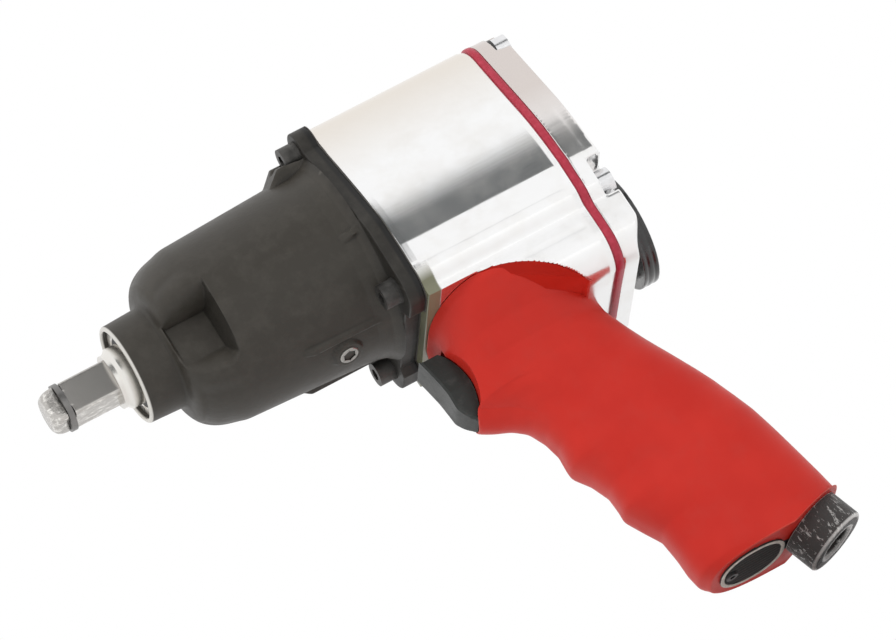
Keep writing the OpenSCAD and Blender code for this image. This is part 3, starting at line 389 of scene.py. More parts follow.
# ---------------------------------------------------------------- Hammer case
# A black coated aluminium casting. Its nose holds the bushing, its body the
# hammers, and a flange with four screws joins it to the motor housing.

nose_x, flange_x, flange_front = -5.1, -97.3, -91.3
screw_places = [(18, 35), (-18, 35), (30.5, -29.5), (-30.5, -29.5)]
upper_turn = math.atan2(35, 18)
lobe_r, head_r, key_r = 7.2, 5.3, 2.8
pocket_floor, pocket_front, ridge_r, flat_z = 18.4, -20.2, 34.5, -35.2
plug_boss_r, plug_boss_half, screw_boss_x = 34.5, 4.9, -74.2


def even_points(corners, count=0, gap=1.0):
    """Even points round a closed outline of corners: count of them, or one each gap."""
    loop = np.vstack([corners, corners[:1]])
    run = np.r_[0, np.cumsum(np.linalg.norm(np.diff(loop, axis=0), axis=1))]
    even = np.linspace(0, run[-1], count or int(run[-1] / gap), endpoint=False)
    return np.stack([np.interp(even, run, loop[:, k]) for k in (0, 1)], -1)


def rim_of(circles, count=6000):
    """Even points along the outline that wraps a set of circles: each direction's
    outermost circle gives a point, and straight runs are filled in between."""
    phi = np.linspace(0, 2 * np.pi, count, endpoint=False)
    ways = np.stack([np.cos(phi), np.sin(phi)], -1)
    circles = np.array(circles, float)
    outer = (circles[:, :2] @ ways.T + circles[:, 2:]).argmax(0)
    return even_points(circles[outer, :2] + circles[outer, 2:] * ways, count)


def far_side(points, angles):
    """Distance from the middle to an outline's outer side at each angle, 0 where a
    ray misses it."""
    along = np.roll(points, -1, 0) - points
    outward = points[:, 0] * along[:, 1] - points[:, 1] * along[:, 0] > 0
    a = np.arctan2(points[outward, 1], points[outward, 0])
    r = np.linalg.norm(points[outward], axis=1)
    order = np.argsort(a)
    a, r = a[order], r[order]
    wanted = (np.asarray(angles) + np.pi) % (2 * np.pi) - np.pi
    if a[0] < -3.1 and a[-1] > 3.1:
        return np.interp(wanted, np.r_[a - 2 * np.pi, a, a + 2 * np.pi], np.r_[r, r, r])
    inside = (wanted >= a[0]) & (wanted <= a[-1])
    return np.where(inside, np.interp(wanted, a, r), 0)


def barrel_circles(grow=0.0):
    """The circles whose wrapped outline is the motor housing's section."""
    return [(s * y, z, r + grow) for s in (-1, 1)
            for y, z, r in ((13, 30, 12), (23.5, -12, 17), (30.5, -29.5, 9))]


def ray_through(centre, radius, angles, sign):
    """Where rays from the spindle cross a circle, on its near (-1) or far (+1) side."""
    reach = math.hypot(*centre)
    off = np.asarray(angles) - math.atan2(centre[1], centre[0])
    inside = radius ** 2 - (reach * np.sin(off)) ** 2
    hit = (inside > 0) & (np.cos(off) > 0)
    return hit, reach * np.cos(off) + sign * np.sqrt(np.clip(inside, 0, None))


def soft_max(a, b, reach):
    """The larger of two values, with the corner between them rounded over reach."""
    return -soft_min(-a, -b, reach)


def ramp(x, low, high):
    """0 below low, 1 above high, and a smooth S between them."""
    t = np.clip((x - low) / (high - low), 0, 1)
    return t * t * (3 - 2 * t)


def inset(depth):
    """How far a quarter circle of radius 1 lies in from its corner at each depth."""
    return 1 - np.sqrt(np.clip(1 - np.clip(depth, 0, 1) ** 2, 0, 1))


case_turn = np.linspace(-np.pi, np.pi, 481)[:-1]
case_x = steps(nose_x, (-5.8, 0.14), (-14, 0.9), (-38.5, 0.3), (-55, 1.0), (-74, 0.9), (-90.4, 0.4),
               (-91.3, 0.15), (-91.31, 0.01), (-91.9, 0.12), (-96.8, 1.2), (-97.3, 0.1))
x, a = case_x[:, None], case_turn[None, :]
y_way, z_way = np.cos(a), np.sin(a)
shoulder = np.radians(np.linspace(0, 90, 40))
body_r = np.interp(-case_x, np.r_[5.1, 5.35, 5.8, 18.1, 19.1 + 17 * (1 - np.cos(shoulder)),
                                  83.3, 88, 91.3],
                   np.r_[16.8, 17.35, 17.65, 18.2, 19.7 + 11.9 * np.sin(shoulder),
                         33.9, 35.2, 37.6])[:, None]
case_r = body_r + 0 * a
# Shallow dished panels between the shoulder's webs
degrees = np.degrees(a)
for low, high, deep in ((20, 80, 0.9), (100, 160, 0.9), (-122, -58, 1.0)):
    dish = ramp(degrees, low - 5, low + 7) * (1 - ramp(degrees, high - 7, high + 5))
    dish = dish * ramp(-x, 20.6, 22.6) * (1 - ramp(-x, 29, 37))
    case_r = case_r - deep * dish
# A pocket on each side. Its floor is flat, its upper and lower walls lean, and its rear
# wall is two slanted planes that meet low down.
for side in (-1, 1):
    across = np.clip(side * y_way, 0.35, 1)
    up = np.degrees(np.arctan2(z_way, across))
    floor_r = pocket_floor / across
    wall = np.maximum(1 - np.clip((14.5 - up) / 13.5, 0, 1) ** 3, np.clip((-up - 38) / 8, 0, 1))
    height = floor_r * z_way
    behind_wall = np.where(height > -15.5, -37.0 - 0.017 * height, -36.7 + 0.9 * (-15.5 - height))
    wall = np.maximum(wall, np.clip((behind_wall + 1.6 - x) / 1.9, 0, 1))
    wall = np.maximum(wall, np.clip((x - pocket_front) / 1.6, 0, 1))
    cut = np.minimum(case_r, floor_r + (case_r - floor_r) * wall)
    case_r = np.where(side * y_way > 0.36, cut, case_r)
# Ridges low on each side, and gussets against the flange
for centre in (math.radians(-62), math.radians(-118)):
    off = abs(body_r * np.sin(a - centre)) + 99 * (abs(a - centre) > 0.5)
    ridge = (1 - ramp(off, 0.9, 1.7)) * ramp(-x, 56.3, 60)
    case_r = soft_max(case_r, case_r * (1 - ridge) + ridge_r * ridge, 0.3)
for side in (-1, 1):
    gusset = (1 - ramp(abs(case_r * z_way + 6), 1.0, 1.6)) * (side * y_way > 0) * (x < -82)
    rise = 33.7 + 3.3 * np.clip((-x - 82.6) / 5, 0, 1)
    case_r = case_r + (np.maximum(case_r, rise) - case_r) * gusset
# Bosses in front of the upper screws, flat on top, with a ramp in front
for middle in (upper_turn, math.pi - upper_turn):
    off = a - middle
    top_r = np.interp(-x, [-screw_boss_x, 75.3, 81.3, 97], [31.5, 32.6, 38.3, 38.3])
    top_r = top_r / np.cos(np.clip(off, -1, 1))
    lies = (1 - ramp(abs(case_r * np.sin(off)), 4.7, 5.7)) * (abs(off) < 1) * (x < screw_boss_x)
    case_r = case_r + (np.maximum(case_r, top_r) - case_r) * lies
# The oil plug's boss, low and turned to the side
plug_x, plug_turn = -71.4, math.radians(-76)
from_plug = np.hypot(x - plug_x, case_r * np.sin(a - plug_turn)) + 99 * (abs(a - plug_turn) > 0.5)
boss = 1 - ramp(from_plug, plug_boss_half, 5.8)
top_r = plug_boss_r / np.cos(np.clip(a - plug_turn, -0.5, 0.5))
case_r = case_r + boss * (np.maximum(case_r, top_r) - case_r)
# Flange with a lobe at each screw, a flat bottom, and reliefs for the heads and the key
flange_r = far_side(rim_of(barrel_circles(-0.6)), case_turn)
flat = -flat_z / np.maximum(-np.sin(case_turn), 0.1)
on_flat = (np.sin(case_turn) < 0) & (abs(np.cos(case_turn) * flat) < 22)
flange_r = np.where(on_flat, np.minimum(flange_r, flat), flange_r)
for place in screw_places:
    hit, far = ray_through(place, lobe_r, case_turn, 1)
    flange_r = soft_max(flange_r, np.where(hit, far, 0), 1.0)
    for radius, reach in ((head_r, 6.7), (key_r, 20)):
        hit, near = ray_through(place, radius, case_turn, -1)
        relief = hit & (x > flange_front) & (x < flange_front + reach)
        case_r = np.where(relief, np.minimum(case_r, near), case_r)
edge = 0.6 * inset((x + 91.9) / 0.6) + 0.5 * inset((-96.8 - x) / 0.5)
case_r = np.where(x <= flange_front, flange_r - edge, case_r)
inner = [(28.6, flange_x), (28.6, -43.6), (25.6, room_x), (14.0, room_x),
         (14.0, bushing_front - 1.5), (16.2, bushing_front - 1.5), (16.2, -5.5), (16.5, nose_x)]
grid = np.concatenate([round_spindle(case_x, case_r, case_turn)] + [
    round_spindle([s], r, case_turn) for r, s in inner])

cast = Shade("black_cast_aluminium")
pits = cast.noise(0.0007, detail=5, rough=0.6)
waves = cast.noise(0.012, detail=3)
dust = cast.noise(0.006, detail=6, rough=0.65).between(0.45, 0.72)
# Convex edges are lighter: rubbed wear, and a painted highlight along them
edge_wear_and_highlight = cast.wear(0.53, 0.62)
lip = cast.axis(0).between(-0.0061, -0.0056)
joint = 1 - cast.axis(0).between(-0.0957, -0.0949)
flange = 1 - cast.axis(0).between(-0.0915, -0.089)
# Painted shade in the casting's hollows and creases, found from the mesh's curvature
grit_and_hollow_shade = 1 - cast.wear(0.44, 0.495)
# Painted shade: faces that look forward, behind the nose, are darkened as the hollows are
shaded = cast.facing(0).between(0.6, 0.95) * (1 - cast.axis(0).between(-0.03, -0.02))
coat = cast.blend(flange, (0.036, 0.032, 0.026), (0.021, 0.019, 0.016))
coat = cast.blend(edge_wear_and_highlight * 0.4 + dust * 0.15, coat, (0.12, 0.11, 0.095))
# The painted shade darkens the coat to near black
coat = cast.blend((grit_and_hollow_shade + shaded).between(0, 1) * 0.65, coat, (0.012, 0.011, 0.009))
coat = cast.blend(joint * 0.85, coat, (0.008, 0.008, 0.008))
case_look = cast.finish(
    Base_Color=cast.blend(lip, coat, (0.72, 0.7, 0.66)), Specular_IOR_Level=0.3,
    Metallic=lip * 0.9, Roughness=0.44 + dust * 0.1 - edge_wear_and_highlight * 0.06,
    Normal=cast.bump(pits * 0.3 + waves * 1.3, 0.0002))
case = woven("hammer_case_casting", grid, case_look, "tool", 60, True)
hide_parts("hammer_case")

# ---------------------------------------------------------------- Screws, washers and plug
# Socket head screws of hardened steel hold the case and the rear cover, each
# on a spring washer. A socket head plug closes the oil hole in the case.


def plain(name, colour, rough, metal, size=0.0008, depth=0.00003, spread=0.25, coat=0.0):
    """A finish for small pieces: one colour with grain, light wear and fine bumps."""
    look = Shade(name)
    fine, wide = look.noise(size, detail=4), look.noise(size * 7, detail=5)
    patch = wide.between(0.4, 0.65)
    worn = tuple(min(1.0, c * (1 + spread) + 0.02 * spread) for c in colour)
    return look.finish(Base_Color=look.blend(patch, colour, worn), Metallic=metal,
                       Roughness=patch * 0.12 + rough, Coat_Weight=coat, Coat_Roughness=0.2,
                       Normal=look.bump(fine, depth))


black_oxide = plain("black_oxide", (0.045, 0.043, 0.04), 0.42, 0.6, spread=0.9, depth=0.00008)
chrome = plain("bright_chrome", (0.78, 0.78, 0.79), 0.12, 1.0, spread=0.1)
seat_black = plain("blackened_washer", (0.05, 0.05, 0.05), 0.4, 0.6, spread=0.5)
nitrile = plain("black_nitrile", (0.02, 0.02, 0.02), 0.5, 0.0)
fibre = plain("gasket_fibre", (0.06, 0.055, 0.05), 0.8, 0.0)


def dress(look, *names):
    """Gives CAD nodes their finish."""
    for name in names:
        for k in range(max(1, len(nodes[name].material_slots))):
            if not nodes[name].material_slots:
                nodes[name].data.materials.append(look)
            nodes[name].material_slots[k].material = look


dress(black_oxide, "case_screws", "case_screw_washers")
dress(chrome, "rear_cover_screws", "reverse_dial_screw")
dress(seat_black, "rear_screw_washers", "exhaust_plate_screw")
dress(plain("spring_ring_steel", (0.2, 0.195, 0.19), 0.3, 1.0), "socket_ring")
dress(nitrile, "nose_seal", "socket_o_ring", "rod_o_ring", "valve_seat_o_ring", "inlet_o_ring",
      "reverse_valve_o_ring")
dress(fibre, "front_gasket")

# Each ring of the plug is a height and a radius, the socket's rings are hexagons
plug_ring = np.linspace(0, 2 * np.pi, 73)[:-1]
hexagon = 2.0 / np.cos((plug_ring + np.pi / 6) % (np.pi / 3) - np.pi / 6)
plug_rings = [(29.6, 3.0 + 0 * hexagon), (33.6, 3.0 + 0 * hexagon), (33.7, 3.4 + 0 * hexagon),
              (34.75, 3.4 + 0 * hexagon), (35.0, 3.15 + 0 * hexagon), (35.0, hexagon + 0.15),
              (34.85, hexagon), (32.4, hexagon * 0.99), (32.2, hexagon * 0.3)]
h = np.array([level for level, _ in plug_rings])[:, None]
r = np.array([ring for _, ring in plug_rings])
outward = np.array([0, math.cos(plug_turn), math.sin(plug_turn)])
sideways = np.array([0, -math.sin(plug_turn), math.cos(plug_turn)])
grid = (np.array([plug_x, 0, 0]) + h[..., None] * outward + (r * np.cos(plug_ring))[..., None]
        * np.array([1, 0, 0]) + (r * np.sin(plug_ring))[..., None] * sideways)
rim = Shade("plug_black_oxide")
grit_and_hollow_shade = rim.noise(0.0008, detail=5)
bare = rim.wear(0.52, 0.58)
plug_look = rim.finish(Base_Color=rim.blend(bare, (0.04, 0.038, 0.035), (0.5, 0.49, 0.46)),
                       Metallic=0.9, Roughness=0.38 - bare * 0.1, Normal=rim.bump(grit_and_hollow_shade, 0.00008))
plug = woven("plug_screw", grid, plug_look, "tool", 40)
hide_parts("oil_plug")

# ---------------------------------------------------------------- Motor housing
# One polished aluminium casting: the barrel round the motor, the foot that
# drops behind the grip, the neck above the trigger and the handle's core.

housing_x, gasket_x, cover_x = -97.7, -159.3, -161.9
arch_x, arch_z, arch_r, arch_top = -110.0, -86.5, 47.5, -39.0
foot_x, foot_low = -148.7, -58.3
facet_y, facet_low, facet_top, arc_y, arc_r = 40.06, -20, -13, 39.32, 77.7
low_crease, high_crease = math.radians(26.53), math.radians(153.47)
house_turn = np.unique(np.r_[np.linspace(-np.pi, -high_crease, 37), np.linspace(
    -high_crease, -low_crease, 221), np.linspace(-low_crease, np.pi, 225)])[:-1]


def side_face(angles):
    """The barrel's side between the crease and the shoulder, as a distance from the
    spindle: a facet that leans in by six degrees, then an arc."""
    lean = math.radians(6)
    up = np.linspace(facet_low, 6.6, 300)
    theta = np.arcsin(math.sin(lean) + np.clip(up - facet_top, 0, None) / arc_r)
    face = np.where(up < facet_top, facet_y - (up - facet_low) * math.tan(lean),
                    arc_y - arc_r * (math.cos(lean) - np.cos(theta)))
    a = np.arctan2(up, face)
    folded = np.pi / 2 - abs((np.asarray(angles) + np.pi / 2) % (2 * np.pi) - np.pi)
    return np.where((folded >= a[0] - 1e-6) & (folded <= a[-1]),
                    np.interp(folded, a, np.hypot(face, up)), 0)


def barrel_side(angles):
    """The barrel's own section, with the facet and arc set into each side."""
    face = side_face(angles)
    return np.where(face > 0, face, far_side(rim_of(barrel_circles()), angles))


def rear_rim(angles):
    """The barrel's section, and the section with the foot at the rear gasket, as
    distances from the spindle. The foot's corners blend into the barrel."""
    barrel = barrel_side(angles)
    foot = rim_of([(s * 25.5, z, 11.3) for s in (-1, 1) for z in (-47, -29.5)])
    return barrel, soft_max(barrel, far_side(foot, angles), 1.6)


def arch_height(x, radius):
    """Height of the arch where the rubber meets the barrel. Ahead of its middle it
    runs level."""
    return arch_z + np.sqrt(np.clip(radius ** 2 - np.minimum(x - arch_x, 0) ** 2, 0, None))


house_x = steps(housing_x, (-98.1, 0.1), (-100.4, 0.3), (-106, 1.4), (-152, 0.6), (-156.2, 0.8),
                (-158.9, 0.3), (-159.2, 0.1), (-159.3, 0.05))
x, a = house_x[:, None], house_turn[None, :]
barrel_r, full_r = rear_rim(house_turn)
# The foot drops past the arch, behind the grip
arch = np.minimum(arch_height(house_x, arch_r), arch_top)
arch = np.where(house_x < foot_x, -70, arch)[:, None]
clip_r = np.where(np.sin(a) < -0.2, arch / np.minimum(np.sin(a), -0.2), 999)
house_r = np.maximum(barrel_r, np.minimum(full_r, clip_r))
# Chamfers at both ends, each with a rounded lip
for end, way, deep in ((housing_x, -1, 0.3), (gasket_x, 1, 0.75)):
    off = (x - end) * way
    house_r = house_r - deep * np.clip(1 - off / 2.7, 0, 1) - 0.25 * inset(1 - off / 0.35)
# Two faint lines run along each side
line_w, line_deep = 0.5, 0.12
side_line = np.exp(-((house_r * np.sin(a) + 28) / line_w) ** 2) * line_deep
low_line = np.exp(-((house_r * np.sin(a) + 42.6) / line_w) ** 2) * line_deep * ramp(-x, 117, 122)
house_r = house_r - (side_line + low_line) * (1 - ramp(-x, 154, 157))
bore = [(28.0, gasket_x), (28.0, -106.5), (28.0, -100.7), (31.0, -100.7), (31.0, housing_x)]
grid = np.concatenate([round_spindle(house_x, house_r, house_turn)] + [
    round_spindle([s], r, house_turn) for r, s in bore])


def polished(name, top_reflection, start, end):
    """Polished aluminium whose colour turns to a painted reflection tone between two heights,
    towards the top. Under the barrel's front a dark grey band is painted shade over its grey cast
    skin."""
    polish = Shade(name)
    swirl = polish.noise(0.03, detail=2)
    brush = polish.noise(0.0005, detail=3, stretch=(30, 1, 1))
    smear = polish.noise(0.011, detail=5, rough=0.6).between(0.42, 0.7)
    # Painted reflection: the colour turns towards the top between two heights
    high = polish.axis(2).between(start, end)
    tone = polish.blend(high, polish.blend(smear, (0.94, 0.94, 0.94), (0.9, 0.89, 0.875)), top_reflection)
    # Painted shade on the band under the barrel's front, over its grey cast skin
    shaded_band = (polish.axis(0).between(-0.1026, -0.1020)
             * (1 - polish.axis(2).between(-0.034, -0.028)))
    tone = polish.blend(shaded_band, tone, (0.17, 0.17, 0.11))
    return polish.finish(Base_Color=tone, Metallic=1 - shaded_band, Roughness=smear * 0.06 + 0.15,
                         Normal=polish.bump(swirl * 1.2 + brush * 0.1, 0.0001))


# The housing's painted reflection tone rises from 12 to 36 mm above the spindle
polish_look = polished("polished_aluminium", (0.82, 0.77, 0.71), 0.012, 0.036)
housing = woven("housing_barrel", grid, polish_look, "tool", 24, True)
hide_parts("motor_housing")

# ---------------------------------------------------------------- Rear gasket and cover
# A red rubber gasket, pressed between the housing and the polished cover that
# closes the motor. The cover's screws sit in pockets that open to its sides.

gasket_rim = rear_rim(house_turn)[1] + 0.1
bulge = [(gasket_x, -0.3), (gasket_x - 0.3, 0.0), (gasket_x - 1.3, 0.12), (cover_x + 0.3, 0.0),
         (cover_x, -0.3)]
grid = np.concatenate([round_spindle([s], gasket_rim + d, house_turn) for s, d in bulge] + [
    round_spindle([s], 28.2, house_turn) for s in (cover_x, gasket_x)])
pressed = Shade("red_gasket_rubber")
speck = pressed.noise(0.0015, detail=5)
gasket_look = pressed.finish(
    Base_Color=pressed.blend(speck.between(0.45, 0.7), (0.36, 0.012, 0.035), (0.44, 0.03, 0.06)),
    Roughness=0.34 + speck * 0.15, Normal=pressed.bump(speck, 0.00008))
gasket = woven("red_gasket", grid, gasket_look, "tool", 60, True)
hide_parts("rear_gasket")


def softened(name, node, voxel, rounds, look, body):
    """A cast copy of a CAD node: its skin is remeshed evenly and its edges are
    rounded by moving each point towards its neighbours' mean."""
    source = nodes[node].data.copy()
    copy = bpy.data.objects.new(name + "_rough", source)
    bpy.context.scene.collection.objects.link(copy)
    weld = copy.modifiers.new("weld", "WELD")
    weld.merge_threshold = 0.00001
    remesh = copy.modifiers.new("remesh", "REMESH")
    remesh.mode, remesh.voxel_size, remesh.adaptivity = "VOXEL", voxel * mm, 0.0
    ease = copy.modifiers.new("ease", "SMOOTH")
    ease.factor, ease.iterations = 0.5, rounds
    evaluated = copy.evaluated_get(bpy.context.evaluated_depsgraph_get())
    mesh = bpy.data.meshes.new_from_object(evaluated)
    bpy.data.objects.remove(copy)
    mesh.name = name
    mesh.materials.clear()
    mesh.materials.append(look)
    mesh.shade_smooth()
    piece = bpy.data.objects.new(name, mesh)
    bpy.context.scene.collection.objects.link(piece)
    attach(piece, body)
    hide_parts(node)
    return piece


def points_of(piece):
    """The mesh's points as an array of rows."""
    flat = np.empty(len(piece.data.vertices) * 3)
    piece.data.vertices.foreach_get("co", flat)
    return flat.reshape(-1, 3)


# The cover's painted reflection tone rises from 20 mm below to 12 mm above the spindle
cover_look = polished("polished_cover", (0.7, 0.64, 0.61), -0.02, 0.012)
cover = softened("cover_casting", "rear_cover", 0.55, 4, cover_look, "tool")
# The outer skin moves in to the barrel's own section, with the facet in each side
skin = points_of(cover)
reach = np.hypot(skin[:, 1], skin[:, 2]) / mm
way = np.arctan2(skin[:, 2], skin[:, 1])
grown, true = far_side(rim_of(barrel_circles()), way), barrel_side(way)
shift = (grown - true) * ramp(reach, grown - 7, grown - 1)
skin[:, 1:] *= (1 - shift / reach)[:, None]
# Its foot thins towards the bottom
thinned = 0.42 * ramp(-skin[:, 2] / mm, 46, 57) * (skin[:, 0] < cover_x * mm)
skin[:, 0] = cover_x * mm + (skin[:, 0] - cover_x * mm) * (1 - thinned)
cover.data.vertices.foreach_set("co", skin.ravel())

# ---------------------------------------------------------------- Reverse dial
# A glossy black moulded dial with a grip bar turns the reverse valve.

gloss = plain("gloss_black", (0.012, 0.012, 0.012), 0.14, 0.0, spread=0.6, coat=0.5)
dial = softened("dial_moulding", "reverse_dial", 0.35, 3, gloss, "reverse_dial")
# Two shallow grooves run round the dial's rim
points = points_of(dial)
low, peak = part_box("reverse_dial")
middle = (np.array(low) + np.array(peak)) / 2
reach = np.hypot(points[:, 1] - middle[1], points[:, 2] - middle[2])
on_rim = reach > reach.max() - 0.001
inward = (points[:, 1:] - middle[1:]) / np.maximum(reach, 0.001)[:, None]
groove_w, groove_deep = 0.0004, 0.0003
for station in (-0.1746, -0.1770):
    dip = np.exp(-((points[:, 0] - station) / groove_w) ** 2) * on_rim * groove_deep
    points[:, 1:] -= inward * dip[:, None]
dial.data.vertices.foreach_set("co", points.ravel())

# ---------------------------------------------------------------- Rubber grip
# A red rubber sleeve, moulded over the handle's core, with finger waves in
# front, a pocket round the trigger and an arch that laps onto the barrel.

grip_low, row_gap = -160.5, 0.4
# Height, front, rear and half width down the grip
waist = np.array([
    (-36, -98.5, -157, 38), (-42, -98.5, -156, 36.9), (-47, -98.4, -155, 33.2),
    (-54, -98, -153, 26.4), (-62, -96, -154.4, 21.4), (-70, -95.4, -158, 19.2),
    (-75.6, -96.4, -160.7, 18.4),
    (-77, -98.5, -161.3, 18.3), (-78.6, -101.4, -162.1, 18.2), (-80.6, -106.5, -163, 18.1),
    (-84, -111.2, -164.7, 18), (-89, -114.1, -167.2, 18), (-95, -115.5, -170.2, 18),
    (-101, -115.1, -173, 18), (-103.6, -115.2, -174, 17.9), (-109, -119.1, -176.1, 17.8),
    (-116, -122, -178.7, 17.6), (-122, -122.3, -180.3, 17.5), (-125.6, -122.1, -181.2, 17.5),
    (-132, -125.6, -182.6, 17.4), (-138, -129.1, -183.9, 17.3), (-146, -130, -185.6, 17.3),
    (-153, -130.2, -186.9, 17.5), (-158, -131.2, -187.6, 17.9), (grip_low, -134, -188, 18.0)])
down = np.arange(grip_low, -36.9, row_gap)
blur = np.exp(-0.5 * (np.arange(-8, 9) * row_gap / 0.6) ** 2)
eased = [np.convolve(np.pad(np.interp(down, waist[::-1, 0], waist[::-1, k]), 8, mode="edge"),
                     blur / blur.sum(), "valid") for k in (1, 2, 3)]
front_x, rear_x, half_w = (e[:, None] for e in eased)
z = down[:, None]
# The trigger's pocket is part of a cylinder that lies across the tool
pocket_x, pocket_z, pocket_r, pocket_top = -79.5, -61.3, 22.3, -46.5
level = pocket_r ** 2 - (z - pocket_z) ** 2
wall = np.where(level > 0, pocket_x - np.sqrt(np.clip(level, 0, None)), 0)
wall = np.where(z < pocket_top, wall, -98.6)
middle, half = (front_x + rear_x) / 2, (front_x - rear_x) / 2
power = 0.8
# The front's columns step across from side to side, and where the pocket cuts them
# they lie on its wall. The rear's columns go round the superellipse.
cut = np.clip((wall - middle) / half, -1, 1)
theta_cut = np.where(wall < front_x, np.arccos(np.clip(cut, 0, 1) ** (1 / power)), math.acos(0.975))
edge_y = np.maximum(half_w * np.sin(theta_cut) ** power, 8.7)
theta_edge = np.arcsin(np.clip(edge_y / half_w, 0, 1) ** (1 / power))
slot_columns, slot_deep = 20, 6.3
slot_w = np.interp(z, [-75, -62], [5.7, 8.3])
share = np.linspace(0, 1, 14)
side_y = slot_w + (edge_y - slot_w) * share
y_front = np.hstack([(slot_w - 0.01) * np.linspace(-1, 1, slot_columns), side_y])
theta = theta_edge + (2 * np.pi - 2 * theta_edge) * np.linspace(0, 1, 202)[None, 1:-1]
c, d = np.cos(theta), np.sin(theta)
rear_y = half_w * np.sign(d) * abs(d) ** power
rear_x_grid = middle + half * np.sign(c) * abs(c) ** power


def front_surface(y):
    """The superellipse's front, cut by the pocket's wall."""
    x = middle + half * np.clip(1 - (abs(y) / half_w) ** (2 / power), 0, 1) ** (power / 2)
    return np.where(wall < 0, np.minimum(x, wall), x)


# A slot in the wall, deeper than the trigger's travel, takes the trigger
x_front = front_surface(y_front)
slot = (z > -74.6) & (z < -47.4)
x_front[:, :slot_columns] -= np.where(slot, slot_deep, 0)
mirrored = -side_y[:, ::-1]
grip_x = np.hstack([x_front, rear_x_grid, front_surface(mirrored)])
grip_y = np.hstack([y_front, rear_y, mirrored])
grip_z = z + 0 * grip_x
# The top follows the arch, just inside it
top = np.clip(arch_height(grip_x, arch_r - 0.12), foot_low + 0.4, arch_top - 0.05)
grip_z = np.minimum(grip_z, top)


def foot_plane(x):
    """Height of the grip's bottom: level, then square to the air inlet behind."""
    return np.maximum(grip_low, -157.3 - 0.3346 * (x + 174.5))


grip_z = np.maximum(grip_z, foot_plane(grip_x))
# The ledge under the trigger rises on both sides of its middle
ledge = ramp(grip_z, -92, -79) * (1 - ramp(grip_z, -77, -70)) * ramp(grip_x, -128, -112)
grip_z = grip_z + ledge * np.minimum(0.045 * grip_y ** 2, 3.8)
grid = np.stack([grip_x, grip_y, grip_z], -1)
# Rings that shrink towards the middle close the bottom
lid = []
for part in (0.985, 0.94, 0.8, 0.55, 0.25):
    ring = grid[0].copy()
    centre = ring.mean(0)
    ring[:, :2] = centre[:2] + (ring[:, :2] - centre[:2]) * part
    ring[:, 2] = foot_plane(ring[:, 0]) - 0.25 * (part == 0.985)
    lid.insert(0, ring)
grid = np.concatenate([lid, grid])

rubber = Shade("red_grip_rubber")
matt = rubber.noise(0.00045, detail=3)
broad = rubber.noise(0.03, detail=3).between(0.35, 0.65)
handled = rubber.noise(0.009, detail=6, rough=0.6).between(0.5, 0.72)
# Painted highlight: the sleeve's sharp edges are painted lighter
edge_wear_and_highlight = rubber.wear(0.53, 0.62)
red = rubber.blend(broad, (0.49, 0.016, 0.008), (0.54, 0.022, 0.012))
red = rubber.blend(handled * 0.35, red, (0.46, 0.032, 0.022))
rubber_look = rubber.finish(
    Base_Color=rubber.blend(edge_wear_and_highlight * 0.6, red, (0.85, 0.24, 0.18)),
    Roughness=0.42 + handled * 0.1, Specular_IOR_Level=0.25, Normal=rubber.bump(matt, 0.00004))
grip = woven("grip_rubber", grid, rubber_look, "tool", 50)
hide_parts("grip_sleeve")
# The bottom's faces inside the exhaust plate's outline take the black finish, a painted shadow of
# the hollow behind the plate
grip.data.materials.append(nitrile)
middles = np.empty(len(grip.data.polygons) * 3)
grip.data.polygons.foreach_get("center", middles)
middles = middles.reshape(-1, 3) / mm
shadow_under_plate = (middles[:, 2] < -157) & (np.hypot(middles[:, 0] + 150.1, middles[:, 1]) < 11.4)
grip.data.polygons.foreach_set("material_index", shadow_under_plate.astype(np.int32))

# ---------------------------------------------------------------- Trigger
# A black moulded trigger that slides straight back into the grip's pocket.

trigger_low, trigger_top, back_r = -74.3, -46.6, 22.0
# Height and front edge down the trigger. Its back is an arc that fits the pocket.
face = np.array([(-75, -99.6), (-74, -97.3), (-70.8, -94.4), (-67.6, -92.8), (-62, -92.7),
                 (-58, -92.3), (-52, -91.2), (trigger_top, -90.1)])
rise = steps(trigger_low, (-73.4, 0.12), (-72, 0.3), (-47.2, 0.5), (trigger_top, 0.12))
lead = np.interp(rise, face[:, 0], face[:, 1])
lead = np.convolve(np.pad(lead, 2, mode="edge"), np.array([1, 2, 3, 2, 1]) / 9, "valid")
tail = pocket_x - np.sqrt(back_r ** 2 - (rise - pocket_z) ** 2)
lead = np.maximum(lead, tail + 0.3)
width = np.interp(rise, [-75, -62], [5.4, 8.0])
edge_r = 0.7
draw = edge_r * inset(1 - np.minimum(rise - trigger_low, trigger_top - rise) / edge_r)
# Columns: up one side, over the blunt front between two ridges, and down the other side
side_run = np.linspace(0, 1, 16)
nose_edge = lead - draw - edge_r
columns = [(tail + (nose_edge - tail) * t, width - draw) for t in side_run]
columns += [(lead - draw, (width - draw - edge_r) * t) for t in np.linspace(1, -1, 11)]
columns += [(tail + (nose_edge - tail) * t, draw - width) for t in side_run[::-1]]
tx = np.maximum(np.stack([c[0] for c in columns], 1), tail[:, None])
ty = np.stack([c[1] for c in columns], 1)
# A step at the top's rear lets the trigger slide into its slot
step = -47.85 + 1.3 * ramp(tx - tail[:, None], 5.3, 6.3)
grid = np.stack([tx, ty, np.minimum(rise[:, None], step)], -1)
moulded = Shade("black_trigger")
fine = moulded.noise(0.0004, detail=3)
scuff = moulded.noise(0.004, detail=6).between(0.5, 0.7)
shine = moulded.wear(0.53, 0.6)
trigger_look = moulded.finish(
    Base_Color=moulded.blend(scuff * 0.7 + shine * 0.4, (0.017, 0.019, 0.017),
                             (0.05, 0.053, 0.05)),
    Roughness=0.38 + scuff * 0.15, Specular_IOR_Level=0.35, Normal=moulded.bump(fine, 0.00005))
trigger = woven("trigger_moulding", grid, trigger_look, "trigger", 35)
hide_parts("trigger")

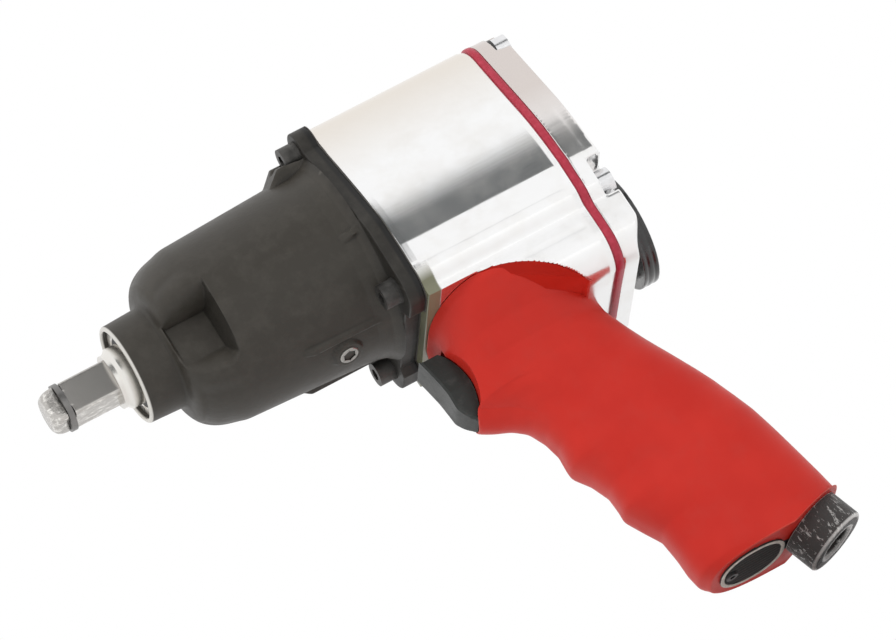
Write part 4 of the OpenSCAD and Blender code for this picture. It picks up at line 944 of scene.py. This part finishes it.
# ---------------------------------------------------------------- Air inlet
# A dark cast bush at the handle's foot with a pipe thread. Its edges are
# worn bright. Behind it lie a screen and an O-ring.

rake, thread_pitch = math.radians(18.5), 1.33
inlet_end = np.array([-178.3, 0, -168.7])
# Radius and height above the inlet's end, up the outside and down the bore
inlet_profile = np.array([
    (4.5, 32), (9.1, 32), (9.1, 12), (12.0, 12), (12.1, 11.6), (12.1, 0.9), (11.6, 0.25),
    (10.8, 0), (7.0, 0), (5.7, 1.2), (5.7, 13), (6.1, 13), (6.1, 13.8), (5.1, 13.8), (5.1, 15),
    (4.5, 15)])
ring = np.linspace(0, 2 * np.pi, 145)[:-1]
fine_rows = even_points(inlet_profile, gap=0.4)
r, h = fine_rows[:, :1], fine_rows[:, 1:]
threaded = (r > 5.5) & (r < 5.8) & (h > 1.6) & (h < 12.6)
r = r - 0.16 * (1 + np.cos(2 * np.pi * h / thread_pitch)) * threaded
local = np.stack([r * np.cos(ring), r * np.sin(ring), h + 0 * ring], -1)
lean = np.array([[math.cos(rake), 0, math.sin(rake)], [0, 1, 0],
                 [-math.sin(rake), 0, math.cos(rake)]])
grid = inlet_end + local @ lean.T
up_bush = np.array([math.sin(rake), 0, math.cos(rake)])
gritty = Shade("gunmetal_cast_inlet")
lumps = gritty.noise(0.0012, detail=6, rough=0.7)
chips = gritty.noise(0.0016, detail=6, rough=0.75, stretch=(1, 1, 2.4)).between(0.545, 0.6)
at_end = 1 - gritty.along(inlet_end * mm, up_bush).between(0.0006, 0.0012)
from_axis = gritty.node("ShaderNodeVectorMath", {"operation": "DISTANCE"},
                        {0: gritty.place(), 1: tuple(inlet_end * mm)}, out="Value")
end_ring = at_end * (from_axis.between(0.0104, 0.0112) + 1 - from_axis.between(0.0076, 0.0084))
bare = (gritty.wear(0.52, 0.57) * 0.8 + chips * 0.5 + end_ring * 0.8
        - at_end * 0.2).between(0.15, 0.85)
inlet_look = gritty.finish(
    Base_Color=gritty.blend(bare, (0.05, 0.046, 0.044), (0.75, 0.74, 0.72)),
    Metallic=bare * 0.4 + 0.5 - at_end * 0.35, Roughness=0.46 - bare * 0.16,
    Normal=gritty.bump(lumps, 0.0004))
inlet = woven("inlet_bush", grid, inlet_look, "tool", 40, True)
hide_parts("air_inlet")

# ---------------------------------------------------------------- Exhaust plate
# A moulded plate with a ribbed field and a raised rim, worn pale on its high
# parts, closes the exhaust in the handle's foot. A felt muffler lies behind it.

ribbed = Shade("worn_plate")
speckle = ribbed.noise(0.0012, detail=6, rough=0.7)
tall = 1 - ribbed.axis(2).between(-0.16122, -0.16108)
plate_look = ribbed.finish(
    Base_Color=ribbed.blend(tall * 0.95, (0.02, 0.02, 0.019), ribbed.blend(
        speckle.between(0.4, 0.62), (0.62, 0.6, 0.54), (0.45, 0.43, 0.38))),
    Roughness=0.6 + speckle * 0.1, Normal=ribbed.bump(speckle, 0.0002))
# Rings of the plate's outline, drawn in step by step: its edge, the raised rim, and a
# field of fine ribs that run lengthways, each a cosine wave across the tool
plate_low, plate_high = (np.array(corner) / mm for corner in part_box("exhaust_plate"))
plate_rim = rim_of([(sx * 1.1, sy * 1.3, 11.2) for sx in (-1, 1) for sy in (-1, 1)], 160)
rib_rings, rib_pitch, rib_deep = 44, 2.3, 0.45
drawn = np.r_[1, 1, 0.985, 0.895, 0.88, 0.875, np.linspace(0.86, 0.02, rib_rings)]
lift = np.r_[2.9, 0.15, 0, 0, 0.15, 0.25, np.full(rib_rings, 0.25)]
ring_xy = plate_rim * drawn[:, None, None]
rib = rib_deep * (0.5 + 0.5 * np.cos(2 * np.pi * ring_xy[..., 1] / rib_pitch))
rib = rib * (drawn < 0.87)[:, None]
middle = (plate_low + plate_high) / 2
grid = np.stack([ring_xy[..., 0] + middle[0], ring_xy[..., 1] + middle[1],
                 plate_low[2] + lift[:, None] + rib], -1)
exhaust = woven("exhaust_grille", grid, plate_look, "tool", 40)
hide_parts("exhaust_plate")
felt = plain("muffler_felt", (0.05, 0.048, 0.045), 0.95, 0.0, spread=0.3, depth=0.0004)
dress(felt, "exhaust_muffler")

# ---------------------------------------------------------------- Inside the tool
# Bearings, rotor, vanes, plates, hammers, valve and springs are unseen when
# the tool is closed. Each keeps its CAD shape in its own metal.

ground = plain("ground_bearing_steel", (0.7, 0.7, 0.71), 0.18, 1.0, spread=0.1)
machined = plain("machined_steel", (0.42, 0.42, 0.43), 0.3, 1.0, spread=0.2, depth=0.00006)
brass = plain("turned_brass", (0.72, 0.53, 0.22), 0.25, 1.0, spread=0.15)
resin = plain("vane_resin", (0.16, 0.09, 0.04), 0.5, 0.0, size=0.002, spread=0.6)
dress(ground, "front_bearing_outer_race", "rear_bearing_outer_race", "front_bearing_inner_race",
      "rear_bearing_inner_race", "front_bearing_balls", "rear_bearing_balls", "hammer_pins",
      "throttle_rod", "valve_spring", "inlet_screen", "detent_ball", "detent_spring")
dress(machined, "cylinder_liner", "cylinder_pin", "front_end_plate", "rear_end_plate", "rotor",
      "hammer_cage", "front_hammer", "rear_hammer", "reverse_bushing")
dress(brass, "front_ball_cage", "rear_ball_cage", "thrust_washer", "rod_bushing", "tilt_valve",
      "valve_seat", "reverse_valve")
dress(resin, "rotor_vanes")
